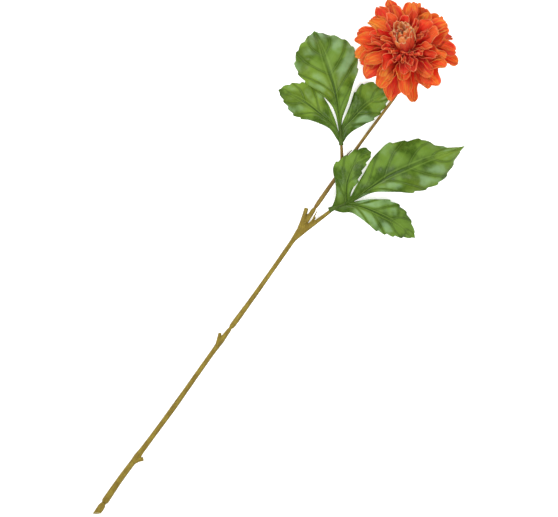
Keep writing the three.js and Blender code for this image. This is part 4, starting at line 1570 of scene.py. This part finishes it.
    def petal_point(self, petal: Petal, v: float, u: float) -> Vector:
        """A point of a petal.

        Args:
            petal: the petal.
            v: from -1 to 1 across it.
            u: from 0 at its root to 1 at its tip.

        Returns:
            The point, in millimetres.
        """
        start, end = petal.lift
        bend = end - start
        slope = start + bend * u
        out = petal.radius + petal.length * (math.sin(slope) - math.sin(start)) / bend
        out += self.notch(petal, v, u)
        high = petal.height - petal.length * (math.cos(slope) - math.cos(start)) / bend
        half = petal.width / 2 * self.share_of_width(petal, u) * (1 + self.raggedness(petal, v, u))
        sideways, rise = (half * part for part in self.section(petal, v, u))
        body = ease(0.12, 0.5, u)
        rise -= self.groove * petal.width * body * math.exp(-((v / 0.16) ** 2))
        rise += self.ridge * petal.width * body * math.cos(4.5 * math.pi * v + petal.phase)
        rise += petal.curl * petal.length * ease(0.55, 1.0, u) ** 2
        rise += 0.012 * petal.length * body * math.sin(7 * u + 2 * petal.phase)
        roll = petal.roll * (0.2 + 0.8 * u)
        lateral = sideways * math.cos(roll) - rise * math.sin(roll) + petal.sweep * petal.length * u * u
        normal = sideways * math.sin(roll) + rise * math.cos(roll)
        radial = out - normal * math.sin(slope)
        height = high + normal * math.cos(slope)
        c, s = math.cos(petal.azimuth), math.sin(petal.azimuth)
        nod = self.nod * max(height - self.nod_from, 0) if petal.radius < self.boss_radius else 0.0
        place = self.place(radial * c - lateral * s, radial * s + lateral * c + nod, height)
        place.z = on_surface(place.z, self.thickness / 2)
        return place

    def whorl(self, name: str, whorl: Whorl, columns: int, rows: int) -> bpy.types.Object:
        """The petals of one whorl, joined in one piece."""
        across = spread(-1.0, 1.0, columns)
        along = spread(0.0, 0.9, rows) + [0.94, 0.97, 0.99, 1.0]
        parts = []
        for index in range(whorl.count):
            petal = Petal.of(whorl, index)
            part = sheet(f"{name}_{index}", across, along, partial(self.petal_point, petal))
            marked(part, "petal", petal.tint)
            parts.append(part)
        return bladed(joined(name, parts), self.thickness)

    def turned(self, name: str, outline: Girth, sides: int) -> bpy.types.Object:
        """A half outline turned round the bloom's axis, closed at both ends."""
        inner = outline[1:-1]
        along = [k / (len(inner) - 1) for k in range(len(inner))]

        def skin(turn: float, share: float) -> Vector:
            radius, height = inner[round(share * (len(inner) - 1))]
            return self.place(radius * math.cos(turn), radius * math.sin(turn), height)

        piece = rolled(name, sides, along, skin)
        modified(piece, "SUBSURF", levels=1, render_levels=1)
        return smooth(piece)

    def green_parts(self) -> None:
        """The calyx: its cup and its two rings of bracts."""
        pieces = [self.turned("calyx_cup", self.cup, 24)]
        for name, ring in zip(("inner_bracts", "hanging_bracts"), self.bracts):
            pieces.append(self.whorl(name, ring, 8, 12))
        for piece in pieces:
            grain = []
            for vertex in piece.data.vertices:
                off = vertex.co / MM - in_frame(self.at)
                grain += (off.dot(self.rightward), off.dot(self.upward), off.dot(self.facing))
            carried(piece, "grain", grain)
            put(piece, "calyx", ["calyx"], Dye.CALYX.made(), Dye.CALYX.made())

    def ray_petals(self) -> None:
        """The whorls of orange-red petals, from the outermost in, and what they grow from."""
        receptacle = self.turned("receptacle", self.receptacle, 24)
        marked(receptacle, "petal", 0.0)
        put(receptacle, "ray_petals", ["ray_florets"], Dye.INNER.made())
        for ring in self.rays:
            piece = self.whorl(f"ray_whorl_{ring.number + 1}", ring, 14, 18)
            face, back = (Dye.RAY, Dye.RAY_BACK) if ring.number < 3 else (Dye.INNER, Dye.INNER_BACK)
            put(piece, "ray_petals", ["ray_florets"], face.made(), back.made())

    def boss(self) -> None:
        """The apricot boss of incurved petals."""
        core = self.turned("heart_core", self.heart_core, 20)
        marked(core, "petal", 0.0)
        put(core, "heart_petals", ["bloom_heart"], Dye.HEART_FACE.made())
        for ring in self.heart:
            piece = self.whorl(f"heart_whorl_{ring.number - 5}", ring, 10, 16)
            put(piece, "heart_petals", ["bloom_heart"], Dye.HEART_FACE.made(), Dye.HEART.made())

    def build(self) -> None:
        """Builds the whole bloom."""
        self.green_parts()
        self.ray_petals()
        self.boss()


def main() -> None:
    """Builds the plant and its studio in the frame."""
    logging.basicConfig(level=logging.INFO, format="%(message)s")
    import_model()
    studio = Studio()
    studio.camera()
    for length in stem_lengths():
        length.build()
    for leaf in (lower_leaf(), upper_leaf()):
        leaf.build()
    Bloom().build()
    studio.floor()
    studio.lights()
    deselect()


if __name__ == "__main__":
    main()
